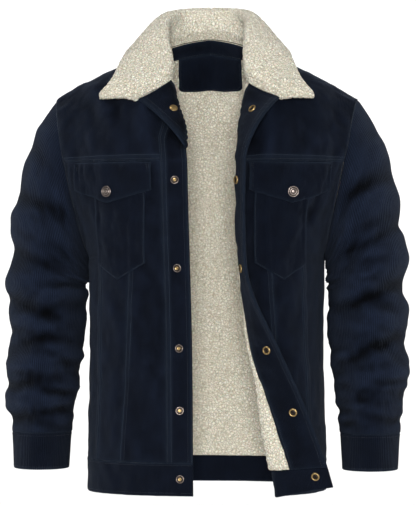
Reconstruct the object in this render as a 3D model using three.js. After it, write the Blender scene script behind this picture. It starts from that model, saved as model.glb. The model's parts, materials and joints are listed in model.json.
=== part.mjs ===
// A fleece-lined corduroy jacket, worn open and filled out with no wearer.
// Millimetres, +Z up, the wearer faces -Y. The origin is inside the neck opening, level with the
// tops of the shoulders. "Right" and "left" are the wearer's own sides: right is -X, left is +X.
// Every cloth piece is a patch of one of four smooth surfaces (fronts, back, sleeves, collar),
// given a wall by moving its points along the surface's normal.
import * as THREE from "three";

// Driving dimensions
const HEM_Z = -705; // the hem's height below the neck
const ARMPIT_V = 370; // heights called V are measured up the cloth from the hem
const YOKE_V = 519;
const TOP_V = 749; // the neckline and shoulder seams
const FRONT_U = 250; // a front's width from its free edge to the side seam; U is measured from the edge
const SEAM = 0.3; // the gap that each seam leaves between two pieces
const CLOTH = 2.4; // corduroy wall
const FACING = 2.0; // thinner cloth inside the placket and the neck
const FLEECE = 5.6; // lining wall with its pile
const HEM_BAND = 51; // outer height of the hem band
const HEM_INSIDE = 42; // height of the band's inner layer
const PLACKET = 41; // width of the button strip
const FACING_U = 48; // width of the facing behind it
const POWER = 2.6; // squareness of the body's sections

const ARMHOLE = { z: -210, halfHeight: 125, halfDepth: 86, low: 187, spread: 53 };
const SHOULDER = { x: 240, y: 0, z: -85 };
const NECK_POINT = { x: 88, y: 8, z: -14 };
const BACK_NECK = { x: 0, y: 84, z: 19 };

// The body's sections, from the hem up: half width, front depth and back depth
const BODY = [
  { v: 0, half: 191, front: 150, back: 126 },
  { v: 51, half: 190, front: 149, back: 125 },
  { v: 145, half: 187, front: 146, back: 118 },
  { v: 235, half: 185, front: 146, back: 117 },
  { v: 305, half: 186, front: 149, back: 121 },
  { v: 370, half: 187, front: 152, back: 126 },
  { v: 430, half: 190, front: 154, back: 129 },
  { v: 519, half: 200, front: 152, back: 128 },
];

// How the left front's edge rolls open: where it turns, where its free edge is, how much higher
// than the turn that edge stands, and how far from the edge the cloth turns
const LEFT_ROLL = [
  { v: 0, rollX: 119, rollY: -150, edgeX: 205, edgeY: -163, rise: 18, turnU: 90 },
  { v: 51, rollX: 113, rollY: -151, edgeX: 194, edgeY: -176, rise: 6, turnU: 85 },
  { v: 133, rollX: 98, rollY: -154, edgeX: 166, edgeY: -182, rise: 2, turnU: 74 },
  { v: 230, rollX: 82, rollY: -158, edgeX: 124, edgeY: -190, rise: 0, turnU: 57 },
  { v: 328, rollX: 70, rollY: -163, edgeX: 81, edgeY: -204, rise: 0, turnU: 48 },
  { v: 415, rollX: 61, rollY: -167, edgeX: 73, edgeY: -198, rise: 0, turnU: 39 },
  { v: 519, rollX: 60, rollY: -168, edgeX: 73.4, edgeY: -193, rise: -4, turnU: 33 },
];
// The right front hangs straight: only its free edge's place changes
const RIGHT_EDGE = [
  { v: 0, edgeX: 11 },
  { v: 230, edgeX: 13 },
  { v: 519, edgeX: 20 },
];
// The top corner of each front: the turn and the free edge at the neckline
const CORNER = {
  left: { turn: [78, -90, -65], edge: [121, -120, -91], edgeBend: 4 },
  right: { turn: [57, -90, -60], edge: [99, -120, -92], edgeBend: 2 },
};

// Small tools
const lerp = (a, b, t) => a + (b - a) * t;
const clamp = (t, a = 0, b = 1) => Math.min(b, Math.max(a, t));
const ease = (t) => clamp(t) ** 2 * (3 - 2 * clamp(t));
const add = (a, b, k = 1) => [a[0] + b[0] * k, a[1] + b[1] * k, a[2] + b[2] * k];
const mix = (a, b, t) => [lerp(a[0], b[0], t), lerp(a[1], b[1], t), lerp(a[2], b[2], t)];
const sub = (a, b) => [a[0] - b[0], a[1] - b[1], a[2] - b[2]];
const size = (a) => Math.hypot(...a);
const unit = (a) => a.map((x) => x / (size(a) || 1));
const cross = (a, b) => [
  a[1] * b[2] - a[2] * b[1],
  a[2] * b[0] - a[0] * b[2],
  a[0] * b[1] - a[1] * b[0],
];
const range = (n) => Array.from({ length: n + 1 }, (_, i) => i / n);

// The value of a table's column at a height, on a smooth curve through its rows
function read(table, key, column, at) {
  const n = table.length;
  const x = clamp(at, table[0][key], table[n - 1][key]);
  let i = 0;
  while (i < n - 2 && x > table[i + 1][key]) i += 1;
  const slope = (k) => {
    const a = table[Math.max(0, k - 1)];
    const b = table[Math.min(n - 1, k + 1)];
    return (b[column] - a[column]) / (b[key] - a[key]);
  };
  const a = table[i];
  const b = table[i + 1];
  const h = b[key] - a[key];
  const t = (x - a[key]) / h;
  return (
    a[column] * (2 * t ** 3 - 3 * t ** 2 + 1) +
    b[column] * (3 * t ** 2 - 2 * t ** 3) +
    slope(i) * h * (t ** 3 - 2 * t ** 2 + t) +
    slope(i + 1) * h * (t ** 3 - t ** 2)
  );
}

// A curve from a to b that leaves along ta and arrives along tb
const hermite = (a, ta, b, tb, t) =>
  [0, 1, 2].map(
    (k) =>
      a[k] * (2 * t ** 3 - 3 * t ** 2 + 1) +
      b[k] * (3 * t ** 2 - 2 * t ** 3) +
      ta[k] * (t ** 3 - 2 * t ** 2 + t) +
      tb[k] * (t ** 3 - t ** 2),
  );

// The point a share of the way along a polyline
function along(line, share) {
  const steps = line.slice(1).map((p, i) => size(sub(p, line[i])));
  let left = clamp(share) * steps.reduce((a, b) => a + b, 0);
  for (let i = 0; i < steps.length; i += 1) {
    if (left <= steps[i] || i === steps.length - 1) {
      return mix(line[i], line[i + 1], steps[i] ? left / steps[i] : 0);
    }
    left -= steps[i];
  }
  return line[line.length - 1];
}

// The point a distance along a section. Distances are true near the middle of the body; what a
// section has more or less than the cloth's full width is taken up towards its outer end.
function measured(line, distance, full, calm, start = 0) {
  const length = line.slice(1).reduce((sum, p, i) => sum + size(sub(p, line[i])), 0);
  const late = Math.max(0, (start + distance - calm) / (start + full - calm)) ** 3;
  return along(line, (distance + (length - full) * late) / length);
}

// The armhole: an ellipse seen from the side, leaning out towards the shoulder.
// Angle 0 is the shoulder tip, a quarter turn is the front, a half turn is the underarm.
function armhole(angle, isBack = false) {
  const z = ARMHOLE.z + ARMHOLE.halfHeight * Math.cos(angle);
  const share = clamp((z - ARMHOLE.z + ARMHOLE.halfHeight) / (2 * ARMHOLE.halfHeight));
  const depth = ARMHOLE.halfDepth * Math.abs(Math.sin(angle));
  return [ARMHOLE.low + ARMHOLE.spread * share ** 0.92, isBack ? depth : -depth, z];
}
const armholeAngle = (z) =>
  Math.acos(clamp((z - ARMHOLE.z) / ARMHOLE.halfHeight, -1, 1));

// The outer end of a body section: the side seam, or above the armpit the armhole
function outerEnd(v, isBack) {
  const z = HEM_Z + v;
  if (v <= ARMPIT_V) return [read(BODY, "v", "half", v), 0, z];
  return armhole(armholeAngle(z), isBack);
}

// Half a body section below the yoke, from the middle (x = 0) to its outer end: a superellipse
// below the armpit, which loosens into a power curve where it stops short at the armhole
function bodySection(v, isBack, count = 48) {
  const end = outerEnd(v, isBack);
  const depth = read(BODY, "v", isBack ? "back" : "front", v);
  const wrap = lerp(POWER, 1, clamp((2 * Math.abs(end[1])) / depth));
  const sign = isBack ? 1 : -1;
  return range(count).map((t) => {
    const phi = (t * Math.PI) / 2;
    const share = Math.sin(phi) ** (2 / POWER);
    const bend = 1 - Math.max(0, 1 - share ** POWER) ** (1 / wrap);
    return [end[0] * share, sign * (depth - (depth - Math.abs(end[1])) * bend), end[2]];
  });
}

// The part of a section outside a given x, starting on that x
function from(line, x) {
  const i = Math.max(1, line.findIndex((p) => p[0] > x));
  const t = (x - line[i - 1][0]) / (line[i][0] - line[i - 1][0]);
  return [mix(line[i - 1], line[i], t), ...line.slice(i)];
}

// A front's section below the yoke, in its own side's x: {turn, main, edge}, where main runs from
// the turn to the outer end
function frontSection(side, v) {
  const profile = bodySection(v, false);
  if (side === "right") {
    const main = from(profile, read(RIGHT_EDGE, "v", "edgeX", v));
    return { turnU: 0, main, edge: main[0] };
  }
  const z = HEM_Z + v;
  const turn = [read(LEFT_ROLL, "v", "rollX", v), read(LEFT_ROLL, "v", "rollY", v), z];
  const lead = 34;
  const rest = from(profile, turn[0] + lead);
  const arriving = unit(sub(rest[1], rest[0]));
  const roll = range(10)
    .slice(0, 10)
    .map((t) => hermite(turn, [0, 26, 0], rest[0], add([0, 0, 0], arriving, 40), t));
  const edge = [
    read(LEFT_ROLL, "v", "edgeX", v),
    read(LEFT_ROLL, "v", "edgeY", v),
    z + read(LEFT_ROLL, "v", "rise", v),
  ];
  return { turnU: read(LEFT_ROLL, "v", "turnU", v), main: [...roll, ...rest], edge };
}

// The shoulder seam, from the neck point to the shoulder tip, with a slight bow
function shoulderSeam(t) {
  const a = [NECK_POINT.x, NECK_POINT.y, NECK_POINT.z];
  const b = [SHOULDER.x, SHOULDER.y, SHOULDER.z];
  return add(mix(a, b, t), [0, 0, 7 * Math.sin(Math.PI * t)]);
}

// The top edge of a front from its turn to the shoulder tip: the neckline, then the shoulder seam
const NECK_SHARE = 0.14;
function frontTop(side, share) {
  if (share >= NECK_SHARE) return shoulderSeam((share - NECK_SHARE) / (1 - NECK_SHARE));
  const t = share / NECK_SHARE;
  const neck = [NECK_POINT.x, NECK_POINT.y, NECK_POINT.z];
  return hermite(CORNER[side].turn, [14, 45, 22], neck, [-4, 55, 8], t);
}

// The top edge of the back from its middle to the shoulder tip
const BACK_SHARE = 0.386;
function backTop(share) {
  if (share >= BACK_SHARE) return shoulderSeam((share - BACK_SHARE) / (1 - BACK_SHARE));
  const t = share / BACK_SHARE;
  const middle = [BACK_NECK.x, BACK_NECK.y, BACK_NECK.z];
  const neck = [NECK_POINT.x, NECK_POINT.y, NECK_POINT.z];
  return hermite(middle, [80, 0, 0], neck, [20, -110, -48], t);
}

// Between the yoke seam and the top edge each column is a quarter ellipse; at the neck it is
// nearly straight. The outermost column keeps to the armhole.
function dome(low, high, w, straight, isBack, share) {
  const angle = (w * Math.PI) / 2;
  const inY = lerp(Math.cos(angle), 1 - w, straight);
  const inZ = lerp(Math.sin(angle), w, straight);
  const inX = (inZ + 1 - Math.sqrt(Math.max(0, 1 - inZ ** 2))) / 2;
  const point = [
    lerp(low[0], high[0], inX),
    lerp(high[1], low[1], inY),
    lerp(low[2], high[2], inZ),
  ];
  const end = armhole(armholeAngle(lerp(HEM_Z + YOKE_V, SHOULDER.z, inZ)), isBack);
  return mix(point, end, share > 0.8 ? ease((share - 0.8) / 0.2) : 0);
}

// The front's surface: u from the free edge, v up from the hem, in the wearer's frame
const sections = new Map();
function frontRow(side, v) {
  const key = side + v.toFixed(4);
  if (!sections.has(key)) sections.set(key, makeFrontRow(side, v));
  return sections.get(key);
}
function makeFrontRow(side, v) {
  if (v <= YOKE_V) return frontSection(side, v);
  const w = (v - YOKE_V) / (TOP_V - YOKE_V);
  const base = frontRow(side, YOKE_V);
  const corner = CORNER[side];
  const rise = lerp(Math.sin((w * Math.PI) / 2), w, 0.6);
  const edge = [
    lerp(base.edge[0], corner.edge[0], rise ** 1.6),
    lerp(base.edge[1], corner.edge[1], rise ** corner.edgeBend),
    lerp(base.edge[2], corner.edge[2], rise),
  ];
  const start = side === "left" ? 0 : 0.2;
  const turnU = lerp(base.turnU, FACING_U, clamp((rise - start) / (1 - start)));
  return { turnU, main: [yokePoint(side, 0, v), yokePoint(side, 0.03, v)], edge };
}
function yokePoint(side, share, v) {
  const base = frontRow(side, YOKE_V);
  const w = (v - YOKE_V) / (TOP_V - YOKE_V);
  const low = frontPoint(side, lerp(base.turnU, FRONT_U, share), YOKE_V);
  const straight = 1 - ease((share - 0.02) / (NECK_SHARE + 0.12));
  return dome(low, frontTop(side, share), w, straight, false, share);
}

// The front's surface. It runs on past its own edges over its neighbours, so that walls mitre there.
function front(side, u, v) {
  const mirror = side === "left" ? 1 : -1;
  if (v > TOP_V) {
    const beyond = 2 * TOP_V - v;
    if (u >= NECK_U) {
      const p = clamp((u - NECK_U) / (FRONT_U - NECK_U));
      const [x, y, z] = backHalf(beyond, lerp(BACK_SHARE, 1, p));
      return [mirror * x, y, z];
    }
    return collar((side === "left" ? 1 : -1) * collarPlace(u), (v - TOP_V) / COLLAR_REACH);
  }
  if (u < 0) return sub(add(front(side, 0, v), front(side, 0, v)), front(side, -u, v));
  const [x, y, z] = u > FRONT_U ? pastSide(u - FRONT_U, v, false) : frontPoint(side, u, v);
  return [mirror * x, y, z];
}
function frontPoint(side, u, v) {
  const row = frontRow(side, v);
  const turn = row.main[0];
  if (u >= row.turnU) {
    const full = FRONT_U - row.turnU;
    if (v > YOKE_V) return yokePoint(side, (u - row.turnU) / full, v);
    return measured(row.main, u - row.turnU, full, 100, row.turnU);
  }
  const t = 1 - u / row.turnU;
  const leaving = unit(sub(turn, row.main[1]));
  const chord = sub(row.edge, turn);
  const reach = size(chord);
  const pull = 1.5 * Math.min(26, 0.3 * reach + 12) * clamp(row.turnU / 12);
  const arriving = unit(add(chord, [14, 5, 0])).map((n) => n * reach * 0.8);
  return hermite(turn, leaving.map((n) => n * pull), row.edge, arriving, t);
}

// The back's surface: share 0 is the middle, 1 the side seam or armhole
const BACK_U = 238; // half the back's width, for measuring along it
const backRows = new Map();
function backHalf(v, share) {
  const key = v.toFixed(4);
  if (v <= YOKE_V) {
    if (!backRows.has(key)) backRows.set(key, bodySection(v, true));
    return measured(backRows.get(key), share * BACK_U, BACK_U, 90);
  }
  const w = (v - YOKE_V) / (TOP_V - YOKE_V);
  const straight = 1 - ease((share - 0.1) / (BACK_SHARE + 0.05));
  return dome(backHalf(YOKE_V, share), backTop(share), w, straight, true, share);
}
function back(u, v) {
  const mirror = Math.sign(u || 1);
  const share = Math.abs(u) / BACK_U;
  if (v > TOP_V) {
    const beyond = 2 * TOP_V - v;
    if (share >= BACK_SHARE) {
      const p = clamp((share - BACK_SHARE) / (1 - BACK_SHARE));
      const [x, y, z] = frontPoint("right", lerp(NECK_U, FRONT_U, p), beyond);
      return [mirror * x, y, z];
    }
    return collar((mirror * 0.4 * share) / BACK_SHARE, (v - TOP_V) / COLLAR_REACH);
  }
  const [x, y, z] = share > 1 ? pastSide(Math.abs(u) - BACK_U, v, true) : backHalf(v, share);
  return [mirror * x, y, z];
}

// A place a little way past the side seam (onto the other half of the body) or past the armhole
// (onto the sleeve)
function pastSide(distance, v, isBack) {
  if (v <= ARMPIT_V) {
    return isBack
      ? frontPoint("right", FRONT_U - distance, v)
      : backHalf(v, 1 - distance / BACK_U);
  }
  const angle = isBack ? 2 * Math.PI - armAngle(v) : armAngle(v);
  return bareSleeve(angle, distance / armReach(angle));
}

// The armhole's angle at a height up the cloth, and back
const YOKE_Z = HEM_Z + YOKE_V;
function armAngle(v) {
  const w = clamp((v - YOKE_V) / (TOP_V - YOKE_V));
  const z = v <= YOKE_V ? HEM_Z + v : lerp(YOKE_Z, SHOULDER.z, Math.sin((w * Math.PI) / 2));
  return armholeAngle(z);
}
function armHeight(angle) {
  const z = ARMHOLE.z + ARMHOLE.halfHeight * Math.cos(angle);
  if (z <= YOKE_Z) return Math.max(ARMPIT_V, z - HEM_Z);
  const w = Math.asin(clamp((z - YOKE_Z) / (SHOULDER.z - YOKE_Z))) / (Math.PI / 2);
  return lerp(YOKE_V, TOP_V, w);
}
const armReach = (angle) => size(sub(sleeveRing(angle, BICEP_Z), armStart(angle)));
function armStart(angle) {
  const isBack = angle > Math.PI;
  return armhole(isBack ? 2 * Math.PI - angle : angle, isBack);
}

// Sleeve rings below the arm: centre, half width and half depth
const SLEEVE = [
  { z: -388, x: 254.5, y: -4, wide: 62, deep: 82 },
  { z: -436, x: 256.5, y: -8, wide: 62, deep: 79 },
  { z: -484, x: 258, y: -14, wide: 60.5, deep: 75 },
  { z: -531, x: 261, y: -22, wide: 58, deep: 70 },
  { z: -579, x: 262, y: -31, wide: 53, deep: 62 },
  { z: -613, x: 260.5, y: -37, wide: 47.5, deep: 52 },
  { z: -670, x: 260.5, y: -44, wide: 44, deep: 47 },
];
const CUFF_TOP = -613;
const CUFF_END = -670;
const BICEP_Z = SLEEVE[0].z;
// The sleeve's main creases: height where it crosses the front, how far it climbs to the outside,
// the angle and spread of its middle, its half width and its height above (+) or below (-) the tube
const RIGHT_CREASES = [
  { z: -175, climb: 40, at: 1.2, spread: 1.0, half: 17, rise: 4 },
  { z: -262, climb: 34, at: 1.3, spread: 1.2, half: 15, rise: -6 },
  { z: -300, climb: 30, at: 0.9, spread: 1.5, half: 17, rise: 6 },
  { z: -343, climb: 24, at: 0.4, spread: 1.7, half: 13, rise: -7 },
  { z: -385, climb: 16, at: 0.9, spread: 1.8, half: 18, rise: 7 },
  { z: -424, climb: 22, at: 1.4, spread: 1.6, half: 13, rise: -6 },
  { z: -462, climb: 10, at: 0.2, spread: 2.4, half: 14, rise: -7 },
  { z: -495, climb: -16, at: 1.6, spread: 1.3, half: 16, rise: 6 },
  { z: -532, climb: -10, at: 1.2, spread: 1.6, half: 12, rise: -6 },
  { z: -560, climb: 6, at: 0.8, spread: 2.0, half: 11, rise: 5 },
  { z: -583, climb: -6, at: 1.9, spread: 2.2, half: 9, rise: -5 },
];
const LEFT_CREASES = [
  { z: -190, climb: 30, at: 0.9, spread: 1.1, half: 16, rise: 4 },
  { z: -238, climb: 38, at: 1.1, spread: 1.4, half: 14, rise: -7 },
  { z: -278, climb: 34, at: 1.5, spread: 1.3, half: 17, rise: 5 },
  { z: -318, climb: 34, at: 1.2, spread: 1.6, half: 13, rise: -7 },
  { z: -362, climb: 26, at: 1.0, spread: 1.8, half: 18, rise: 7 },
  { z: -400, climb: 26, at: 1.4, spread: 1.6, half: 12, rise: -7 },
  { z: -440, climb: 18, at: 1.2, spread: 1.7, half: 17, rise: 5 },
  { z: -482, climb: 26, at: 1.7, spread: 1.5, half: 12, rise: -8 },
  { z: -520, climb: 10, at: 0.6, spread: 1.8, half: 16, rise: 5 },
  { z: -556, climb: 4, at: 0.3, spread: 2.0, half: 11, rise: -6 },
  { z: -585, climb: -8, at: 1.6, spread: 2.2, half: 10, rise: -4 },
];

// A ring of the sleeve; angle 0 is outermost, a quarter turn is the front
function sleeveRing(angle, z) {
  const wide = read(SLEEVE, "key", "wide", -z);
  const deep = read(SLEEVE, "key", "deep", -z);
  return [
    read(SLEEVE, "key", "x", -z) + wide * Math.cos(angle),
    read(SLEEVE, "key", "y", -z) - deep * Math.sin(angle),
    z,
  ];
}
SLEEVE.forEach((row) => {
  row.key = -row.z;
});

// The bare sleeve: t from 0 at the armhole to 1 at the bicep ring, and on to 2 at the cuff
function bareSleeve(around, t) {
  const angle = ((around % (2 * Math.PI)) + 2 * Math.PI) % (2 * Math.PI);
  if (t > 1) return sleeveRing(angle, lerp(BICEP_Z, CUFF_TOP, t - 1));
  if (t < 0) {
    // above the armhole the sleeve runs on over the body
    const distance = -t * armReach(angle);
    const v = armHeight(angle);
    return angle > Math.PI
      ? backHalf(v, 1 - distance / BACK_U)
      : frontPoint("right", FRONT_U - distance, v);
  }
  const start = armStart(angle);
  const end = sleeveRing(angle, BICEP_Z);
  const top = (1 + Math.cos(angle)) / 2;
  const leaving = unit([0.05 + 0.45 * top, -0.22 * Math.sin(angle), -0.62 - 0.38 * (1 - top)]);
  const reach = size(sub(end, start));
  return hermite(start, leaving.map((x) => x * reach), end, [0, 0, -reach], t);
}

// The sleeve with its creases, on the right (-1) or left (+1)
function sleeve(side, angle, t) {
  const creases = side < 0 ? RIGHT_CREASES : LEFT_CREASES;
  const point = bareSleeve(angle, t);
  const around = Math.atan2(Math.sin(angle), Math.cos(angle));
  let moved = 0;
  creases.forEach((crease) => {
    // each crease of the front has a fainter one behind, a little lower
    [
      { at: crease.at, z: crease.z, rise: crease.rise },
      { at: -crease.at - 0.5, z: crease.z - 17, rise: 0.75 * crease.rise },
    ].forEach(({ at, z, rise }) => {
      const off = Math.atan2(Math.sin(around - at), Math.cos(around - at));
      const across = (point[2] - z - crease.climb * Math.cos(around)) / crease.half;
      moved += rise * Math.exp(-(across ** 2) - (off / crease.spread) ** 2);
    });
  });
  // the creases die out at the seams and on the side next to the body
  const inner = ease((Math.cos(around) + 1.05) / 0.9);
  moved *= ease(t / 0.35) * ease((2 - t) / 0.08) * inner;
  const centre = bareSleeve(angle + Math.PI, t);
  const out = unit(sub(point, centre));
  const placed = add(point, out, moved);
  return [side * placed[0], placed[1], placed[2]];
}

// The collar's fold and outer edge in its own side's x, from the middle of the back (t = 0) past the
// neck point (0.4) and the turn (0.8) to its front end (1)
const COLLAR = [
  { t: 0, fold: [0, 91, 62], edge: [0, 116, -14] },
  { t: 0.2, fold: [46, 80, 59], edge: [74, 99, -12] },
  { t: 0.4, fold: [68, 24, 46], edge: [122, 22, -14] },
  { t: 0.6, fold: [69, -36, 14], edge: [130, -46, -30] },
  { t: 0.8, fold: [59, -96, -46], edge: [143, -99, -64] },
  { t: 1, fold: [119, -125, -88], edge: [160, -134, -90] },
];
// The left half's front end stands further out, by this much at each row
const COLLAR_LEFT = { fold: [0, 0, 0, 2, 20, 21], edge: [0, 0, 1, 6, 12, 17] };

function collarLine(name, side, t) {
  const rows = COLLAR.map((row, i) => {
    const [x, y, z] = row[name];
    return { t: row.t, x: x + (side > 0 ? COLLAR_LEFT[name][i] : 0), y, z };
  });
  // the line runs on past the middle of the back to the other side, so it is smooth there
  rows.unshift({ t: -rows[1].t, x: -rows[1].x, y: rows[1].y, z: rows[1].z });
  return ["x", "y", "z"].map((k) => read(rows, "t", k, t));
}

// The collar is sewn to the top edges of the back and the fronts
function collarSeam(side, t) {
  if (t <= 0.4) return backTop((t / 0.4) * BACK_SHARE);
  const name = side > 0 ? "left" : "right";
  if (t <= 0.8) return frontTop(name, ((0.8 - t) / 0.4) * NECK_SHARE);
  return frontPoint(name, (FACING_U * (1 - t)) / 0.2, TOP_V);
}

// The collar's t above a front's U, and back
const collarPlace = (u) =>
  u <= FACING_U ? 1 - (0.2 * u) / FACING_U : 0.8 - (0.4 * (u - FACING_U)) / (NECK_U - FACING_U);
const frontPlace = (t) =>
  t >= 0.8 ? ((1 - t) * FACING_U) / 0.2 : lerp(FACING_U, NECK_U, (0.8 - t) / 0.4);
const COLLAR_REACH = 125; // the collar's depth in q, measured at its seam

// The collar's surface: t from -1 (right end) through 0 (back) to 1 (left end), q from the seam (0)
// over the fold (0.35) to the outer edge (1)
function collar(t, q) {
  const side = t < 0 ? -1 : 1;
  const at = Math.abs(t);
  if (q < 0) {
    // below its seam the collar runs on over the body
    const v = TOP_V + q * COLLAR_REACH;
    const name = side > 0 ? "left" : "right";
    const [x, y, z] =
      at < 0.4 ? backHalf(v, (at / 0.4) * BACK_SHARE) : frontPoint(name, frontPlace(at), v);
    return [side * x, y, z];
  }
  const seam = collarSeam(side, at);
  const fold = collarLine("fold", side, at);
  const edge = collarLine("edge", side, at);
  const flat = ease((at - 0.55) / 0.3);
  const outside = unit([edge[0] - fold[0], edge[1] - fold[1], 0]);
  const over = outside.map((x) => x * lerp(26, 18, flat));
  const up = size(sub(fold, seam));
  const rising = mix([0, 0, up], sub(fold, seam), flat);
  const landing = mix(over, sub(fold, seam), flat * 0.6);
  const point =
    q < 0.35
      ? hermite(seam, rising, fold, landing, q / 0.35)
      : hermite(fold, over.map((x) => x * 1.6), edge, sub(edge, fold), (q - 0.35) / 0.65);
  return [side * point[0], point[1], point[2]];
}

// The direction out of a surface, from the points around a place
function outward(surface, sign, u, v, du = 2, dv = 2) {
  const across = sub(surface(u + du, v), surface(u - du, v));
  const up = sub(surface(u, v + dv), surface(u, v - dv));
  return unit(cross(across, up)).map((x) => x * sign);
}

// Grids. Each layer of a panel takes its corners from the same columns and rows, so that the
// layers stay a set distance apart and the pieces meet along shared lines.
const ROWS = [0, 21, HEM_INSIDE, HEM_BAND, 97, 143, 189, 235, 280, 325, ARMPIT_V]
  .concat([379, 400, 430, 460, 490, YOKE_V])
  .concat([557, 596, 634, 676, 722, TOP_V]);
const ROW = { inside: 2, band: 3, armpit: 10, yoke: 16, top: 22 };

// A front's two slanting seams: their U at the hem, at the yoke and at the top
const NECK_U = lerp(FACING_U, FRONT_U, NECK_SHARE);
const slanted = (hem, yoke, top) => (v) =>
  v <= YOKE_V
    ? lerp(hem, yoke, (v - HEM_BAND) / (YOKE_V - HEM_BAND))
    : lerp(yoke, top, (v - YOKE_V) / (TOP_V - YOKE_V));
const innerSeam = slanted(119, 88, NECK_U);
const outerSeam = slanted(168, 148, 152);
const thirds = (a, b) => [lerp(a, b, 1 / 3), lerp(a, b, 2 / 3), b];
const frontColumns = (v) => [
  0,
  14,
  28,
  PLACKET,
  FACING_U,
  ...thirds(FACING_U, innerSeam(v)),
  ...thirds(innerSeam(v), outerSeam(v)),
  ...thirds(outerSeam(v), FRONT_U),
];
const COLUMN = { placket: 3, facing: 4, inner: 7, outer: 10, side: 13 };

// The back's columns meet the front's along the shoulder
const halfShares = [
  ...range(3).map((t) => t * BACK_SHARE),
  ...frontColumns(TOP_V)
    .slice(COLUMN.inner + 1)
    .map((u) => lerp(BACK_SHARE, 1, (u - NECK_U) / (FRONT_U - NECK_U))),
];
// Below the yoke they slant in towards the hem, as the seams of the back's three panels do
const BACK_SLANT = 0.42;
const backColumns = (v) => {
  const low = BACK_SLANT * clamp((YOKE_V - v) / YOKE_V);
  const half = halfShares.map((t) => BACK_U * (t - low * t * (1 - t)));
  return [...half.slice(1).reverse().map((u) => -u), ...half];
};
const BACK_COLUMN = { right: 5, left: 13 };

// A wall's direction at a crease: the mitre between two surfaces, or where that would leave the wall
// thin, closer to the surface's own direction
function eased(mitre, own) {
  const along = mitre[0] * own[0] + mitre[1] * own[1] + mitre[2] * own[2];
  return unit(add(mitre, own, 3 * Math.max(0, 0.8 - along)));
}

function gridOf(surface, sign, columnsAt) {
  const nodes = new Map();
  const grid = {
    surface,
    sign,
    columnsAt,
    last: columnsAt(0).length - 1,
    // the surface and its wall's direction at any place
    at: (u, v) => {
      const point = surface(u, v);
      const fromNeck = [Math.abs(point[0]) - NECK_POINT.x, point[1] - NECK_POINT.y];
      if (v > TOP_V - 3 && Math.hypot(...fromNeck) < 1) {
        return { point, out: unit([0.84 * Math.sign(point[0]), 0, 0.54]) };
      }
      const mitre = outward(surface, sign, u, v);
      const width = columnsAt(v).at(-1);
      if (Math.abs(u) < width - 1 || v < ARMPIT_V - 1.5) return { point, out: mitre };
      if (v < ARMPIT_V + 1.5) return { point, out: eased([0, 0, -1], [Math.sign(point[0]), 0, 0]) };
      const before = sub(point, surface(u - 2 * Math.sign(u), v));
      const up = sub(surface(u, v + 2), surface(u, v - 2));
      const own = unit(cross(before, up)).map((x) => x * sign * Math.sign(u));
      return { point, out: eased(mitre, own) };
    },
    node: (i, j) => {
      const key = i * 1000 + j;
      if (!nodes.has(key)) nodes.set(key, grid.at(columnsAt(ROWS[j])[i], ROWS[j]));
      return nodes.get(key);
    },
    // a place on the flat faces between the grid's corners, moved out by an offset;
    // the column is a number such as 4.5, halfway between the fourth and the fifth
    lie: (column, v, offset) => {
      const j = clamp(ROWS.findIndex((row) => row >= v) - 1, 0, ROWS.length - 2);
      const i = clamp(Math.floor(column), 0, grid.last - 1);
      const s = column - i;
      const t = (v - ROWS[j]) / (ROWS[j + 1] - ROWS[j]);
      const [a, b, c, d] = [grid.node(i, j), grid.node(i + 1, j), grid.node(i + 1, j + 1), grid.node(i, j + 1)];
      const blend = (key) =>
        s >= t
          ? add(add(a[key], sub(b[key], a[key]), s), sub(c[key], b[key]), t)
          : add(add(a[key], sub(c[key], d[key]), s), sub(d[key], a[key]), t);
      return add(blend("point"), blend("out"), offset);
    },
  };
  return grid;
}
const GRID = {
  right: gridOf((u, v) => front("right", u, v), -1, frontColumns),
  left: gridOf((u, v) => front("left", u, v), 1, frontColumns),
  back: gridOf(back, -1, backColumns),
};

// A closed wall between two sheets of points, each a list of rows
function wall(outer, inner, isLoop = false) {
  const rows = outer.length - 1;
  const width = outer[0].length;
  const columns = isLoop ? width : width - 1;
  const index = [];
  const start = width * (rows + 1);
  const at = (i, j, isInner) => (isInner ? start : 0) + j * width + (i % width);
  const quad = (a, b, c, d) => index.push(a, b, c, a, c, d);
  for (let j = 0; j < rows; j += 1) {
    for (let i = 0; i < columns; i += 1) {
      quad(at(i, j), at(i + 1, j), at(i + 1, j + 1), at(i, j + 1));
      quad(at(i, j, true), at(i, j + 1, true), at(i + 1, j + 1, true), at(i + 1, j, true));
    }
    if (!isLoop) {
      quad(at(0, j), at(0, j + 1), at(0, j + 1, true), at(0, j, true));
      quad(at(columns, j), at(columns, j, true), at(columns, j + 1, true), at(columns, j + 1));
    }
  }
  for (let i = 0; i < columns; i += 1) {
    quad(at(i, 0), at(i, 0, true), at(i + 1, 0, true), at(i + 1, 0));
    quad(at(i, rows), at(i + 1, rows), at(i + 1, rows, true), at(i, rows, true));
  }
  return solid([...outer.flat(2), ...inner.flat(2)], index);
}

// A mesh of corners and faces, turned to face outwards
function solid(positions, index) {
  let volume = 0;
  const corner = (k) => positions.slice(3 * k, 3 * k + 3);
  for (let i = 0; i < index.length; i += 3) {
    const n = cross(corner(index[i + 1]), corner(index[i + 2]));
    const a = corner(index[i]);
    volume += a[0] * n[0] + a[1] * n[1] + a[2] * n[2];
  }
  const faces = volume < 0 ? index.slice().reverse() : index;
  const geometry = new THREE.BufferGeometry();
  geometry.setAttribute("position", new THREE.Float32BufferAttribute(positions, 3));
  geometry.setIndex(faces);
  return geometry;
}

// Materials
const finish = (color, roughness, metalness = 0) =>
  new THREE.MeshStandardMaterial({ color, roughness, metalness });
const CORDUROY = finish(0x1c2534, 0.9);
const PILE = finish(0xe4ddc6, 1.0);
const NICKEL = finish(0xb9a9a2, 0.35, 0.9);
const BRASS = finish(0xa98a5a, 0.35, 0.9);

const jacket = new THREE.Group();
function piece(name, geometry, material) {
  const mesh = new THREE.Mesh(geometry, material);
  mesh.name = name;
  jacket.add(mesh);
}

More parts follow.
